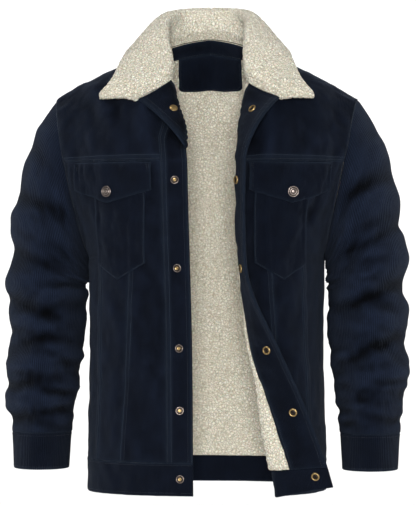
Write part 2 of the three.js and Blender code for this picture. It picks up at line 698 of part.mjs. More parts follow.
// A panel: a block of a grid from one column and row to another, trimmed at its seams, with a wall
// between two offsets
const LAYER = {
  shell: [0, -CLOTH],
  facing: [-CLOTH - 1.4 * SEAM, -CLOTH - 1.4 * SEAM - FACING],
  lining: [-CLOTH - 2 * SEAM, -CLOTH - 2 * SEAM - FLEECE],
};
const HALF = SEAM / 2;
function panel(name, grid, columns, rows, layer, material, trims = {}) {
  const { before = HALF, after = HALF, below = HALF, above = HALF } = trims;
  const sheet = (offset) => {
    const out = [];
    for (let j = rows[0]; j <= rows[1]; j += 1) {
      const made = [];
      for (let i = columns[0]; i <= columns[1]; i += 1) {
        const down = typeof above === "number" ? above : above(i);
        const v = ROWS[j] + (j === rows[0] ? below : 0) - (j === rows[1] ? down : 0);
        const u = grid.columnsAt(v)[i] + (i === columns[0] ? before : 0) - (i === columns[1] ? after : 0);
        made.push(add(grid.surface(u, v), grid.node(i, j).out, offset));
      }
      out.push(made);
    }
    return out;
  };
  piece(name, wall(sheet(layer[0]), sheet(layer[1])), material);
}

function frontPieces(side) {
  const grid = GRID[side];
  const low = [ROW.band, ROW.yoke];
  const { placket, facing, inner, outer, side: end } = COLUMN;
  const band = { below: SEAM };
  panel(`placket_${side}`, grid, [0, placket], [ROW.band, ROW.top], LAYER.shell, CORDUROY, {
    ...band,
    before: 0,
  });
  panel(`front_centre_${side}`, grid, [placket, inner], low, LAYER.shell, CORDUROY, band);
  panel(`front_middle_${side}`, grid, [inner, outer], low, LAYER.shell, CORDUROY, band);
  panel(`front_side_${side}`, grid, [outer, end], low, LAYER.shell, CORDUROY, {
    ...band,
    after: SEAM,
  });
  panel(`front_yoke_${side}`, grid, [placket, end], [ROW.yoke, ROW.top], LAYER.shell, CORDUROY, {
    after: SEAM,
  });
  panel(`facing_${side}`, grid, [0, facing], [ROW.inside, ROW.top], LAYER.facing, CORDUROY, {
    ...band,
    before: 0,
    after: SEAM,
    above: 2.4,
  });
  panel(`lining_front_${side}`, grid, [facing, end], [ROW.inside, ROW.top], LAYER.lining, PILE, {
    ...band,
    before: SEAM,
    after: SEAM,
    above: (column) => (column < inner ? 6 : 1),
  });
  pocketPieces(side, grid);
}

// The chest pocket: a pointed patch with a pointed flap over it, closed by a cap. Each is a list of
// columns, the middle one at the point, and the V of its top, point and corners.
const POCKET = {
  columns: [5.37, 6, 7, 8, 9, 10, 10.23],
  middle: 3,
  point: 334,
  corner: 360,
  rows: [370, 379, 400, 430, 460, 490, 502],
};
const FLAP = {
  columns: [4.56, 5, 6, 7, 8, 8.9, 10, 11, 11.62],
  middle: 5,
  point: 454,
  corner: 474,
  rows: [490, 504, 516],
};
const ON_PANEL = 0.8; // how far a piece lies above the panel under it
const POCKET_WALL = 1.6;
const FLAP_WALL = 2.4;
const CAP_V = 471;
function onPanel(name, grid, shape, lift, thick) {
  const line = grid.columnsAt(shape.corner);
  const place = (column) => lerp(line[Math.floor(column)], line[Math.ceil(column)], column % 1);
  const middle = place(shape.columns[shape.middle]);
  const reach = Math.max(middle - place(shape.columns[0]), place(shape.columns.at(-1)) - middle);
  const sheet = (offset) =>
    [null, ...shape.rows].map((row) =>
      shape.columns.map((column) => {
        const low = lerp(shape.point, shape.corner, Math.abs(place(column) - middle) / reach);
        const v = row || low;
        return grid.lie(column, v, lift(v) + offset);
      }),
    );
  piece(name, wall(sheet(thick), sheet(0)), CORDUROY);
}
function pocketPieces(side, grid) {
  onPanel(`pocket_${side}`, grid, POCKET, () => ON_PANEL, POCKET_WALL);
  const lift = (v) => ON_PANEL + (POCKET_WALL + ON_PANEL) * ease((FLAP.rows.at(-1) - v) / 12);
  onPanel(`flap_${side}`, grid, FLAP, lift, FLAP_WALL);
  const out = lift(CAP_V) + FLAP_WALL + SEAM;
  piece(`cap_pocket_${side}`, stud(grid, FLAP.columns[FLAP.middle], CAP_V, out, CAP), NICKEL);
}

// Press studs are turned metal: pairs of radius and height
const CAP = [[0, 0], [8.6, 0], [8.6, 1.1], [6.4, 2.5], [0, 2.9]];
const SOCKET = [[0, 0], [6.6, 0], [6.6, 1.4], [5.2, 2.4], [3.4, 1.2], [0, 1.2]];
const POST = [[0, 0], [6.4, 0], [6.2, 1.2], [3.6, 1.8], [2.8, 3.6], [0, 3.8]];
const STUD_SIDES = 9;
function stud(grid, column, v, offset, profile) {
  const foot = grid.lie(column, v, offset);
  const away = unit(sub(grid.lie(column, v, offset + Math.sign(offset)), foot));
  const side = unit(cross(away, [0.1, 0.2, 1]));
  const other = cross(away, side);
  const rings = profile.filter(([r]) => r > 0);
  const positions = rings.flatMap(([r, h]) =>
    range(STUD_SIDES)
      .slice(0, STUD_SIDES)
      .flatMap((t) => {
        const angle = t * 2 * Math.PI;
        const rim = add(add(foot, side, r * Math.cos(angle)), other, r * Math.sin(angle));
        return add(rim, away, h);
      }),
  );
  const n = STUD_SIDES;
  positions.push(...add(foot, away, profile[0][1]), ...add(foot, away, profile.at(-1)[1]));
  const [bottom, top] = [rings.length * n, rings.length * n + 1];
  const index = [];
  for (let k = 0; k < n; k += 1) {
    const next = (k + 1) % n;
    index.push(bottom, next, k);
    for (let ring = 0; ring < rings.length - 1; ring += 1) {
      const [a, b] = [ring * n + k, ring * n + next];
      index.push(a, b, b + n, a, b + n, a + n);
    }
    const last = (rings.length - 1) * n;
    index.push(last + k, last + next, top);
  }
  return solid(positions, index);
}

const SMALL_CAP = [[0, 0], [6.4, 0], [6.4, 0.9], [4.8, 2], [0, 2.3]];

// Six press studs down each front: posts on the outside of the right one, sockets on the inside of
// the left one with caps on its outside
const STUD_COLUMN = 1.43;
const STUDS = [
  { v: 26.5, postGap: 0.4, socketGap: 0.4, capGap: 0.3 },
  { v: 132, postGap: 0.4, socketGap: 0.4, capGap: 0.4 },
  { v: 228, postGap: 0.4, socketGap: 0.5, capGap: 0.8 },
  { v: 352, postGap: 0.4, socketGap: 0.5, capGap: 0.6 },
  { v: 488, postGap: 0.4, socketGap: 0.5, capGap: 1 },
  { v: 676, postGap: 0.8, socketGap: 0.8, capGap: 0.6 },
];
function studPieces() {
  STUDS.forEach(({ v, postGap, socketGap, capGap }, i) => {
    const within = (v < HEM_INSIDE ? -BAND_WALL : LAYER.facing[1]) - socketGap;
    piece(`post_${i}`, stud(GRID.right, STUD_COLUMN, v, postGap, POST), NICKEL);
    piece(`socket_${i}`, stud(GRID.left, STUD_COLUMN, v, within, SOCKET), BRASS);
    piece(`cap_${i}`, stud(GRID.left, STUD_COLUMN, v, capGap, SMALL_CAP), NICKEL);
  });
}

// The back, its yoke, the fleece inside it, the strip inside the neck and the plain patch
const PATCH = { columns: [7.3, 8, 9, 10, 10.7], rows: [658, 676, 721], wall: 1.4 };
const NECK_FACING = { columns: [6.2, 7, 8, 9, 10, 11, 11.8], rows: [722, TOP_V], wall: 1.6 };
function backPieces() {
  const grid = GRID.back;
  const all = [0, grid.last];
  const sides = { before: SEAM, after: SEAM };
  const low = { below: SEAM };
  const { right, left } = BACK_COLUMN;
  const belowYoke = [ROW.band, ROW.yoke];
  panel("back_centre", grid, [right, left], belowYoke, LAYER.shell, CORDUROY, low);
  const rightEnds = { ...low, before: SEAM };
  const leftEnds = { ...low, after: SEAM };
  panel("back_side_right", grid, [0, right], belowYoke, LAYER.shell, CORDUROY, rightEnds);
  panel("back_side_left", grid, [left, grid.last], belowYoke, LAYER.shell, CORDUROY, leftEnds);
  panel("back_yoke", grid, all, [ROW.yoke, ROW.top], LAYER.shell, CORDUROY, sides);
  const lining = { ...low, ...sides };
  panel("lining_back", grid, all, [ROW.inside, ROW.top], LAYER.lining, PILE, lining);
  const onLining = LAYER.lining[1] - 2.6 * ON_PANEL;
  const sheet = (shape, offset) =>
    shape.rows.map((v) => shape.columns.map((column) => grid.lie(column, v, offset)));
  Object.entries({ neck_patch: PATCH, neck_facing: NECK_FACING }).forEach(([name, shape]) => {
    const faces = [onLining, onLining - shape.wall].map((offset) => sheet(shape, offset));
    piece(name, wall(...faces), CORDUROY);
  });
}

// The hem band runs from one free edge round the back to the other. Its section is stepped: the
// outer layer is taller than the inner one, so that the lining laps behind it.
const BAND_WALL = 4.6;
const BAND_SECTION = [
  [0, 0],
  [HEM_BAND / 2, 0],
  [HEM_BAND, 0],
  [HEM_BAND, -CLOTH],
  [HEM_INSIDE, -CLOTH],
  [HEM_INSIDE, -BAND_WALL],
  [HEM_BAND / 2, -BAND_WALL],
  [0, -BAND_WALL],
];
function hemBand() {
  const stops = [];
  range(COLUMN.side).forEach((t, i) => stops.push([GRID.right, i]));
  for (let i = 1; i < GRID.back.last; i += 1) stops.push([GRID.back, i]);
  range(COLUMN.side).forEach((t, i) => stops.push([GRID.left, COLUMN.side - i]));
  const positions = stops.flatMap(([grid, i]) =>
    BAND_SECTION.flatMap(([v, offset]) => {
      const { point, out } = grid.at(grid.columnsAt(v)[i], v);
      return add(point, out, offset);
    }),
  );
  const n = BAND_SECTION.length;
  const index = [];
  for (let k = 0; k < stops.length - 1; k += 1) {
    for (let i = 0; i < n; i += 1) {
      const [a, b] = [k * n + i, k * n + ((i + 1) % n)];
      index.push(a, b, b + n, a, b + n, a + n);
    }
  }
  const last = (stops.length - 1) * n;
  BAND_ENDS.forEach(([a, b, c]) => index.push(a, c, b, last + a, last + b, last + c));
  piece("hem_band", solid(positions, index), CORDUROY);
}
// The triangles of the band's stepped end
const BAND_ENDS = [
  [0, 1, 7],
  [1, 6, 7],
  [1, 4, 6],
  [4, 5, 6],
  [1, 2, 4],
  [2, 3, 4],
];

// Sleeves and cuffs are tubes: rows of rings, from the armhole down
const CUFF_WALL = 4.4;
const armAngles = [
  ...ROWS.slice(ROW.armpit, ROW.top + 1).map((v) => armAngle(v)),
  ...ROWS.slice(ROW.armpit + 1, ROW.top)
    .reverse()
    .map((v) => 2 * Math.PI - armAngle(v)),
];
// A tube's sheets at two offsets: rows of rings, each ring one point a column
function tubeSheets(side, stops, thick, surface, place = (column) => armAngles[column % RING]) {
  const columns = Array.from({ length: RING }, (_, i) => i);
  const sheet = (offset, chosen = columns) =>
    stops.map((t) =>
      chosen.map((column, k) => {
        const angle = armAngles[column % RING];
        const step = 2 / armReach(angle);
        const at = Math.max(t, 0.15 * step);
        const point = surface(place(column, k, chosen.length), at);
        const mitre = outward(surface, side, angle, t, 0.03, step);
        if (t > 0.001) return add(point, mitre, offset);
        const isArmpit = Math.abs(angle - Math.PI) < 0.01;
        const own = outward(surface, side, angle, step, 0.03, step);
        const out = isArmpit ? eased([0, 0, -1], [-side, 0, 0]) : eased(mitre, own);
        return add(point, out, offset);
      }),
    );
  return (chosen) => [sheet(0, chosen), sheet(-thick, chosen)];
}
// A sleeve is cut in two: a top sleeve over the front and the outside, and an under sleeve. They
// meet under the arm and down the back, where the seam starts level with the yoke's.
const RING = armAngles.length;
const BACK_SEAM = RING - (ROW.yoke - ROW.armpit);
const SLEEVE_SEAM = 0.0028; // half the gap between the two, as an angle
function sleevePieces() {
  const stops = [0, 0.08, 0.19, 0.31, 0.43, 0.55, 0.67, 0.78, 0.89];
  range(11).forEach((t) => stops.push(1 + t));
  // columns run from the armpit up the front and down the back, so their angles fall
  const trimmed = (column, k, count) => {
    const inward = (k === 0 ? -SLEEVE_SEAM : 0) + (k === count - 1 ? SLEEVE_SEAM : 0);
    return armAngles[column % RING] + inward;
  };
  const part = (from, to) => Array.from({ length: to - from + 1 }, (_, i) => from + i);
  Object.entries({ right: -1, left: 1 }).forEach(([name, side]) => {
    const shape = (angle, t) => sleeve(side, angle, Math.min(t, 2));
    const cut = tubeSheets(side, stops, CLOTH, shape, trimmed);
    piece(`sleeve_${name}`, wall(...cut(part(0, BACK_SEAM))), CORDUROY);
    piece(`under_sleeve_${name}`, wall(...cut(part(BACK_SEAM, RING))), CORDUROY);
    const cuff = (angle, t) => {
      const [x, y, z] = sleeveRing(angle, lerp(CUFF_TOP, CUFF_END, clamp(t)) - SEAM);
      return [side * x, y, z];
    };
    const ring = tubeSheets(side, [0.002, 0.5, 1], CUFF_WALL, cuff)();
    piece(`cuff_${name}`, wall(...ring, true), CORDUROY);
  });
}

// The collar: fleece on top, cloth beneath
const COLLAR_PILE = 8;
const COLLAR_SEAM = 1.6; // the pile is pressed thinner at the seam
const UNDER_COLLAR = 2.2;
const COLLAR_ROWS = [0, 0.12, 0.24, 0.35, 0.46, 0.6, 0.73, 0.87, 1];
const collarColumns = () => {
  const half = [
    ...range(6).map((t) => t * 0.8),
    ...frontColumns(TOP_V)
      .slice(0, COLUMN.facing)
      .reverse()
      .map((u) => 1 - (0.2 * u) / FACING_U),
  ];
  return [...half.slice(1).reverse().map((t) => -t), ...half];
};
function collarPieces() {
  const shape = (t, q) => collar(clamp(t, -1, 1), Math.min(q, 1));
  const step = 2 / COLLAR_REACH;
  const sheet = (offset) =>
    COLLAR_ROWS.map((q) =>
      collarColumns().map((t) => {
        const point = shape(t, Math.max(q, 2 / COLLAR_REACH));
        const isNeckPoint = q === 0 && Math.abs(Math.abs(t) - 0.4) < 1e-6;
        const out = isNeckPoint
          ? unit([-0.84 * Math.sign(t), 0, -0.54])
          : outward(shape, 1, t, q, step, step);
        return add(point, out, q === 0 ? Math.min(offset, COLLAR_SEAM) : offset);
      }),
    );
  piece("collar", wall(sheet(COLLAR_PILE), sheet(SEAM)), PILE);
  piece("under_collar", wall(sheet(0), sheet(-UNDER_COLLAR)), CORDUROY);
}

frontPieces("right");
frontPieces("left");
backPieces();
hemBand();
sleevePieces();
collarPieces();
studPieces();

export default jacket;
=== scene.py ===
"""A fleece-lined corduroy jacket: its cloth, fleece, stitching and studs, laid over the packed frame.

Everything is worked out in millimetres on the surfaces that the part's solids come from, and put into
the meshes in metres. U runs across a piece from its free edge or the middle of the back, V up the cloth
from the hem. "Right" and "left" are the wearer's own sides: right is -X, left is +X.
"""

import json
import math

import bpy
import numpy as np
from bpy.props import FloatProperty, FloatVectorProperty, PointerProperty
from mathutils import Vector
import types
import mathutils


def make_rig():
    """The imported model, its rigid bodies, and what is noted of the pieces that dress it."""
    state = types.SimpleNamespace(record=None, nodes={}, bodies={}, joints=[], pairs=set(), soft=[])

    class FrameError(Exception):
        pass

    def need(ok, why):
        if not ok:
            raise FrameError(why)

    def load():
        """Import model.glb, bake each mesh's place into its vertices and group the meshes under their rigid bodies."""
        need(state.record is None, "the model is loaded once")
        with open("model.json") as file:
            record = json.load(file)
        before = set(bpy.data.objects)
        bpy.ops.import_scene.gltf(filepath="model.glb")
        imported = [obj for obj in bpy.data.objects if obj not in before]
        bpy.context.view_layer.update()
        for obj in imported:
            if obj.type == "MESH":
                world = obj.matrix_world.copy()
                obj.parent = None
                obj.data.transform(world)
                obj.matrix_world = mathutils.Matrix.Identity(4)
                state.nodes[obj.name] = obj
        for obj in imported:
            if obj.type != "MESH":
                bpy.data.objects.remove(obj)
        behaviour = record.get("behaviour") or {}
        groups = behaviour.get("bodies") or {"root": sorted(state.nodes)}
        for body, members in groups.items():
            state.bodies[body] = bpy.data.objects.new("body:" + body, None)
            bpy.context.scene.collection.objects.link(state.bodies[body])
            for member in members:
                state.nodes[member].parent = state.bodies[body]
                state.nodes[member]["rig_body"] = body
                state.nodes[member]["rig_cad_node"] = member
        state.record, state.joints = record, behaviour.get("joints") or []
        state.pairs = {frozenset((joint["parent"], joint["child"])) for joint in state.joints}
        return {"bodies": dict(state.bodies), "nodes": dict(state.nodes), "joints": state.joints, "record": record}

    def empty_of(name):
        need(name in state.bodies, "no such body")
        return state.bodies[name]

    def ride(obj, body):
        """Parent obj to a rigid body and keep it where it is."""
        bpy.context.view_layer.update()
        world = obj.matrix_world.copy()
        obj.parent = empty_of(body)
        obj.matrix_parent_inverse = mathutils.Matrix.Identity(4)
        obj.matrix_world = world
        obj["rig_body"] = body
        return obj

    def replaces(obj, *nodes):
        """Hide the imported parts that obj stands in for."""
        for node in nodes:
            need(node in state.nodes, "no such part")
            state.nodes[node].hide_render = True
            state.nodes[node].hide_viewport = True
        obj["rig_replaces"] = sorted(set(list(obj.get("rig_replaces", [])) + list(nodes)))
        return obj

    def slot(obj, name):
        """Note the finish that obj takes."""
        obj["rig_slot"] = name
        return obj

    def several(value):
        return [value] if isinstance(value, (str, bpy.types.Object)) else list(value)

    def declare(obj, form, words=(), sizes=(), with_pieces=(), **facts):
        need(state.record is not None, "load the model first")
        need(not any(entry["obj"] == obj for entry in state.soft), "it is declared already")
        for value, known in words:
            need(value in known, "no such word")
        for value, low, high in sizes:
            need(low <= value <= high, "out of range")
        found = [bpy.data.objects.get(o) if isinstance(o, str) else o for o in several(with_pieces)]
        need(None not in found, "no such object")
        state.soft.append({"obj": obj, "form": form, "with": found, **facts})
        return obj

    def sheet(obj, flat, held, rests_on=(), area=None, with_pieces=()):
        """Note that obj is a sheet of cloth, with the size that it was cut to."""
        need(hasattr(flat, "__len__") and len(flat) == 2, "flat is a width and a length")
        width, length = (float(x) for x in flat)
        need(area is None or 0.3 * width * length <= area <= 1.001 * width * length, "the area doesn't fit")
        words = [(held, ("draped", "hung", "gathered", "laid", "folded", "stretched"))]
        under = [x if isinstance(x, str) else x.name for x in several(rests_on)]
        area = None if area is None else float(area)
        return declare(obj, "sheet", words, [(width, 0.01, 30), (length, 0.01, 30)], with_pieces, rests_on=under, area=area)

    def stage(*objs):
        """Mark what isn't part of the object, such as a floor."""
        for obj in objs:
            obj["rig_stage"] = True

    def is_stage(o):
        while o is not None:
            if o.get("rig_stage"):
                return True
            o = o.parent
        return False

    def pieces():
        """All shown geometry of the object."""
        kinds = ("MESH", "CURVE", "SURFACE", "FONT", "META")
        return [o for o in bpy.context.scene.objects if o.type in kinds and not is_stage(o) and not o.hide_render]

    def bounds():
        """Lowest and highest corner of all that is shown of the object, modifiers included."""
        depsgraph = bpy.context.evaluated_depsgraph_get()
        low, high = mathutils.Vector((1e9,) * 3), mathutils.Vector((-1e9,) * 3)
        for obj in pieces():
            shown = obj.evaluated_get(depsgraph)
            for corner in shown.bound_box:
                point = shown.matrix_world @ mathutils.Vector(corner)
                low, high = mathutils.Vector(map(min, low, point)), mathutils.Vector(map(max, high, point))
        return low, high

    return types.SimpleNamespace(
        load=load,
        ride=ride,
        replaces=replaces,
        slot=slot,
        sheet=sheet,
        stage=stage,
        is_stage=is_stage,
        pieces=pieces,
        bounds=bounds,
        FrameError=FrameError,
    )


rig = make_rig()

bl_info = {
    "name": "Fleece-lined corduroy jacket",
    "version": (1, 0, 0),
    "blender": (4, 5, 0),
    "location": "3D View > Sidebar > Jacket",
    "description": "Corduroy, fleece, stitching and studs of a jacket filled out with no wearer",
    "category": "Object",
}

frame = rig.load()
CAD_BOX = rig.bounds()

# The part's driving dimensions, in millimetres
HEM_Z = -705.0
ARMPIT_V = 370.0
YOKE_V = 519.0
TOP_V = 749.0
FRONT_U = 250.0
BACK_U = 238.0
HEM_BAND = 51.0
HEM_INSIDE = 42.0
PLACKET = 41.0
FACING_U = 48.0
POWER = 2.6
CLOTH = 2.4
FACING = (2.82, 4.82)
FLEECE = (3.0, 8.6)
BAND_WALL = 4.6
CUFF_WALL = 4.4
ARMHOLE = {"z": -210.0, "half_height": 125.0, "half_depth": 86.0, "low": 187.0, "spread": 53.0}
SHOULDER = np.array([240.0, 0.0, -85.0])
NECK_POINT = np.array([88.0, 8.0, -14.0])
BACK_NECK = np.array([0.0, 84.0, 19.0])
NECK_SHARE = 0.14
BACK_SHARE = 0.386
NECK_U = FACING_U + (FRONT_U - FACING_U) * NECK_SHARE

# The body's sections from the hem up: height, half width, front depth, back depth
BODY = np.array([
    [0, 191, 150, 126], [51, 190, 149, 125], [145, 187, 146, 118], [235, 185, 146, 117],
    [305, 186, 149, 121], [370, 187, 152, 126], [430, 190, 154, 129], [519, 200, 152, 128],
], float)
# The left front's roll: height, turn x and y, edge x and y, rise of the edge, U of the turn
LEFT_ROLL = np.array([
    [0, 119, -150, 205, -163, 18, 90], [51, 113, -151, 194, -176, 6, 85],
    [133, 98, -154, 166, -182, 2, 74], [230, 82, -158, 124, -190, 0, 57],
    [328, 70, -163, 81, -204, 0, 48], [415, 61, -167, 73, -198, 0, 39],
    [519, 60, -168, 73.4, -193, -4, 33],
], float)
RIGHT_EDGE = np.array([[0, 11], [230, 13], [519, 20]], float)
CORNER = {
    "left": {"turn": [78, -90, -65], "edge": [121, -120, -91], "bend": 4.0, "start": 0.0},
    "right": {"turn": [57, -90, -60], "edge": [99, -120, -92], "bend": 2.0, "start": 0.2},
}
# The sleeve's rings below the arm: depth below the neck, centre x and y, half width, half depth
SLEEVE = np.array([
    [388, 254.5, -4, 62, 82], [436, 256.5, -8, 62, 79], [484, 258, -14, 60.5, 75],
    [531, 261, -22, 58, 70], [579, 262, -31, 53, 62], [613, 260.5, -37, 47.5, 52],
    [670, 260.5, -44, 44, 47],
], float)
CUFF_TOP = -613.0
CUFF_END = -670.0
BICEP_Z = -388.0
# Sleeve creases: height at the front, climb to the outside, angle, spread, half width, rise
CREASES = {
    "right": np.array([
        [-175, 40, 1.2, 1.0, 17, 4], [-262, 34, 1.3, 1.2, 15, -6], [-300, 30, 0.9, 1.5, 17, 6],
        [-343, 24, 0.4, 1.7, 13, -7], [-385, 16, 0.9, 1.8, 18, 7], [-424, 22, 1.4, 1.6, 13, -6],
        [-462, 10, 0.2, 2.4, 14, -7], [-495, -16, 1.6, 1.3, 16, 6], [-532, -10, 1.2, 1.6, 12, -6],
        [-560, 6, 0.8, 2.0, 11, 5], [-583, -6, 1.9, 2.2, 9, -5],
    ], float),
    "left": np.array([
        [-190, 30, 0.9, 1.1, 16, 4], [-238, 38, 1.1, 1.4, 14, -7], [-278, 34, 1.5, 1.3, 17, 5],
        [-318, 34, 1.2, 1.6, 13, -7], [-362, 26, 1.0, 1.8, 18, 7], [-400, 26, 1.4, 1.6, 12, -7],
        [-440, 18, 1.2, 1.7, 17, 5], [-482, 26, 1.7, 1.5, 12, -8], [-520, 10, 0.6, 1.8, 16, 5],
        [-556, 4, 0.3, 2.0, 11, -6], [-585, -8, 1.6, 2.2, 10, -4],
    ], float),
}
# The collar's fold and outer edge: share of the half, then fold xyz and edge xyz
COLLAR = np.array([
    [0, 0, 91, 62, 0, 116, -14], [0.2, 46, 80, 59, 74, 99, -12], [0.4, 68, 24, 46, 122, 22, -14],
    [0.6, 69, -36, 14, 130, -46, -30], [0.8, 59, -96, -46, 143, -99, -64],
    [1, 119, -125, -88, 160, -134, -90],
], float)
COLLAR_LEFT = {"fold": [0, 0, 0, 2, 20, 21], "edge": [0, 0, 1, 6, 12, 17]}
STUD_V = (26.5, 132.0, 228.0, 352.0, 488.0, 676.0)
STUD_U = 14 + 0.43 * 14
SIDES = {"right": -1.0, "left": 1.0}


# Small tools


def lerp(a, b, t):
    """a plus t times the way to b."""
    return a + (b - a) * t


def ease(t):
    """3t squared minus 2t cubed, with t held between 0 and 1."""
    t = np.clip(t, 0.0, 1.0)
    return t * t * (3 - 2 * t)


def unit(a):
    """Vectors divided by their own length."""
    return a / np.maximum(np.linalg.norm(a, axis=-1, keepdims=True), 1e-9)


def hermite(a, ta, b, tb, t):
    """The cubic from a to b that leaves along ta and arrives along tb."""
    t2, t3 = t * t, t * t * t
    return a * (2 * t3 - 3 * t2 + 1) + b * (3 * t2 - 2 * t3) + ta * (t3 - 2 * t2 + t) + tb * (t3 - t2)


def curve(xs, ys, at):
    """A cubic between each two rows of a table, whose slopes come from the rows on both sides."""
    xs, ys = np.asarray(xs, float), np.asarray(ys, float)
    table = ys[:, None] if ys.ndim == 1 else ys
    n = len(xs)
    x = np.clip(np.asarray(at, float), xs[0], xs[-1])
    i = np.clip(np.searchsorted(xs[1:], x, side="left"), 0, n - 2)
    low, high = np.maximum(np.arange(n) - 1, 0), np.minimum(np.arange(n) + 1, n - 1)
    slope = (table[high] - table[low]) / (xs[high] - xs[low])[:, None]
    h = (xs[i + 1] - xs[i])[..., None]
    t = (x - xs[i])[..., None] / h
    out = hermite(table[i], slope[i] * h, table[i + 1], slope[i + 1] * h, t)
    return out[..., 0] if ys.ndim == 1 else out


def pick(line, index):
    """Polylines (rows, points, 3) read at fractional point numbers (rows, columns)."""
    i = np.clip(np.floor(index).astype(int), 0, line.shape[1] - 2)
    t = (index - i)[..., None]
    a = np.take_along_axis(line, i[..., None], axis=1)
    b = np.take_along_axis(line, i[..., None] + 1, axis=1)
    return a + (b - a) * t


def along(line, share):
    """The points a share of each polyline's length along it."""
    rows, points = line.shape[:2]
    steps = np.linalg.norm(np.diff(line, axis=1), axis=2)
    far = np.concatenate([np.zeros((rows, 1)), np.cumsum(steps, axis=1)], axis=1)
    far /= far[:, -1:]
    lift = 2.0 * np.arange(rows)[:, None]
    number = np.tile(np.arange(points, dtype=float), rows)
    index = np.interp((np.clip(share, 0, 1) + lift).ravel(), (far + lift).ravel(), number)
    return pick(line, index.reshape(share.shape))


def measured(line, distance, full, calm, start=0.0):
    """The points a distance along each polyline, where the length that it has over or under the cloth's
    is taken up by a cubic towards its outer end."""
    length = np.linalg.norm(np.diff(line, axis=1), axis=2).sum(axis=1)[:, None]
    late = np.maximum(0, (start + distance - calm) / (start + full - calm)) ** 3
    return along(line, (distance + (length - full) * late) / length)


def from_x(line, x):
    """The part of each polyline outside a given x."""
    i = np.maximum(1, (line[:, :, 0] <= x[:, None]).sum(axis=1))
    rows = np.arange(len(line))
    before, after = line[rows, i - 1, 0], line[rows, i, 0]
    first = i - 1 + (x - before) / (after - before)
    last = line.shape[1] - 1
    return pick(line, lerp(first[:, None], last, np.linspace(0, 1, line.shape[1])[None, :]))


# The jacket's surfaces


def armhole_angle(z):
    """The armhole ellipse's angle at a height: the arc cosine of the height above its middle over half
    its height."""
    return np.arccos(np.clip((z - ARMHOLE["z"]) / ARMHOLE["half_height"], -1, 1))


def armhole(angle, sign):
    """An ellipse seen from the side that leans out towards the shoulder; angle 0 is the shoulder tip."""
    z = ARMHOLE["z"] + ARMHOLE["half_height"] * np.cos(angle)
    share = np.clip((np.cos(angle) + 1) / 2, 0, 1)
    y = sign * ARMHOLE["half_depth"] * np.abs(np.sin(angle))
    return np.stack([ARMHOLE["low"] + ARMHOLE["spread"] * share**0.92, y, z], axis=-1)


def body_section(v, is_back, count=72):
    """Half a level section of the body: a superellipse below the armpit, loosening to a power curve
    where it stops short at the armhole."""
    sign = 1.0 if is_back else -1.0
    z = HEM_Z + v
    side = np.stack([curve(BODY[:, 0], BODY[:, 1], v), np.zeros_like(v), z], axis=-1)
    end = np.where((v <= ARMPIT_V)[:, None], side, armhole(armhole_angle(z), sign))
    depth = curve(BODY[:, 0], BODY[:, 3 if is_back else 2], v)[:, None]
    stop = np.abs(end[:, 1:2])
    wrap = lerp(POWER, 1.0, np.clip(2 * stop / depth, 0, 1))
    phi = np.linspace(0, math.pi / 2, count + 1)[None, :]
    bend = 1 - (np.cos(phi) ** 2) ** (1 / wrap)
    x = end[:, :1] * np.sin(phi) ** (2 / POWER)
    y = sign * (depth - (depth - stop) * bend)
    return np.stack([x, y, np.broadcast_to(end[:, 2:], x.shape)], axis=-1)


def shoulder_seam(t):
    """A line from the neck point to the shoulder tip with a bow of 7 mm."""
    bow = 7 * np.sin(math.pi * t)
    return lerp(NECK_POINT, SHOULDER, t[..., None]) + np.stack([0 * bow, 0 * bow, bow], axis=-1)


def front_top(side, share):
    """The neckline from the turn to the neck point, then the shoulder seam."""
    turn = np.array(CORNER[side]["turn"], float)
    t = np.clip(share / NECK_SHARE, 0, 1)[..., None]
    neck = hermite(turn, np.array([14.0, 45, 22]), NECK_POINT, np.array([-4.0, 55, 8]), t)
    seam = shoulder_seam((share - NECK_SHARE) / (1 - NECK_SHARE))
    return np.where((share >= NECK_SHARE)[..., None], seam, neck)


def back_top(share):
    """The back's neckline from the middle to the neck point, then the shoulder seam."""
    t = np.clip(share / BACK_SHARE, 0, 1)[..., None]
    neck = hermite(BACK_NECK, np.array([80.0, 0, 0]), NECK_POINT, np.array([20.0, -110, -48]), t)
    seam = shoulder_seam((share - BACK_SHARE) / (1 - BACK_SHARE))
    return np.where((share >= BACK_SHARE)[..., None], seam, neck)


def dome(low, high, w, straight, sign, share):
    """Each column above the yoke is a quarter ellipse, straighter at the neck; the outermost keeps to
    the armhole."""
    angle = w * math.pi / 2
    in_y = lerp(np.cos(angle), 1 - w, straight)
    in_z = lerp(np.sin(angle), w, straight)
    in_x = (in_z + 1 - np.sqrt(np.maximum(0, 1 - in_z**2))) / 2
    point = np.stack([
        lerp(low[..., 0], high[..., 0], in_x),
        lerp(high[..., 1], low[..., 1], in_y),
        lerp(low[..., 2], high[..., 2], in_z),
    ], axis=-1)
    end = armhole(armhole_angle(lerp(HEM_Z + YOKE_V, SHOULDER[2], in_z)), sign)
    outer = np.where(share > 0.8, ease((share - 0.8) / 0.2), 0.0)[..., None]
    return lerp(point, end, outer)


def front_section(side, v):
    """A front below the yoke: where it turns, the line from the turn to its outer end, its free edge."""
    profile = body_section(v, False)
    if side == "right":
        main = from_x(profile, curve(RIGHT_EDGE[:, 0], RIGHT_EDGE[:, 1], v))
        return np.zeros_like(v), main, main[:, 0]
    roll_x, roll_y, edge_x, edge_y, rise, turn_u = curve(LEFT_ROLL[:, 0], LEFT_ROLL[:, 1:], v).T
    z = HEM_Z + v
    turn = np.stack([roll_x, roll_y, z], axis=-1)[:, None]
    rest = from_x(profile, roll_x + 34)
    arriving = unit(rest[:, 1] - rest[:, 0])[:, None] * 40
    t = np.arange(10)[None, :, None] / 10
    roll = hermite(turn, np.array([0.0, 26, 0]), rest[:, :1], arriving, t)
    return turn_u, np.concatenate([roll, rest], axis=1), np.stack([edge_x, edge_y, z + rise], axis=-1)


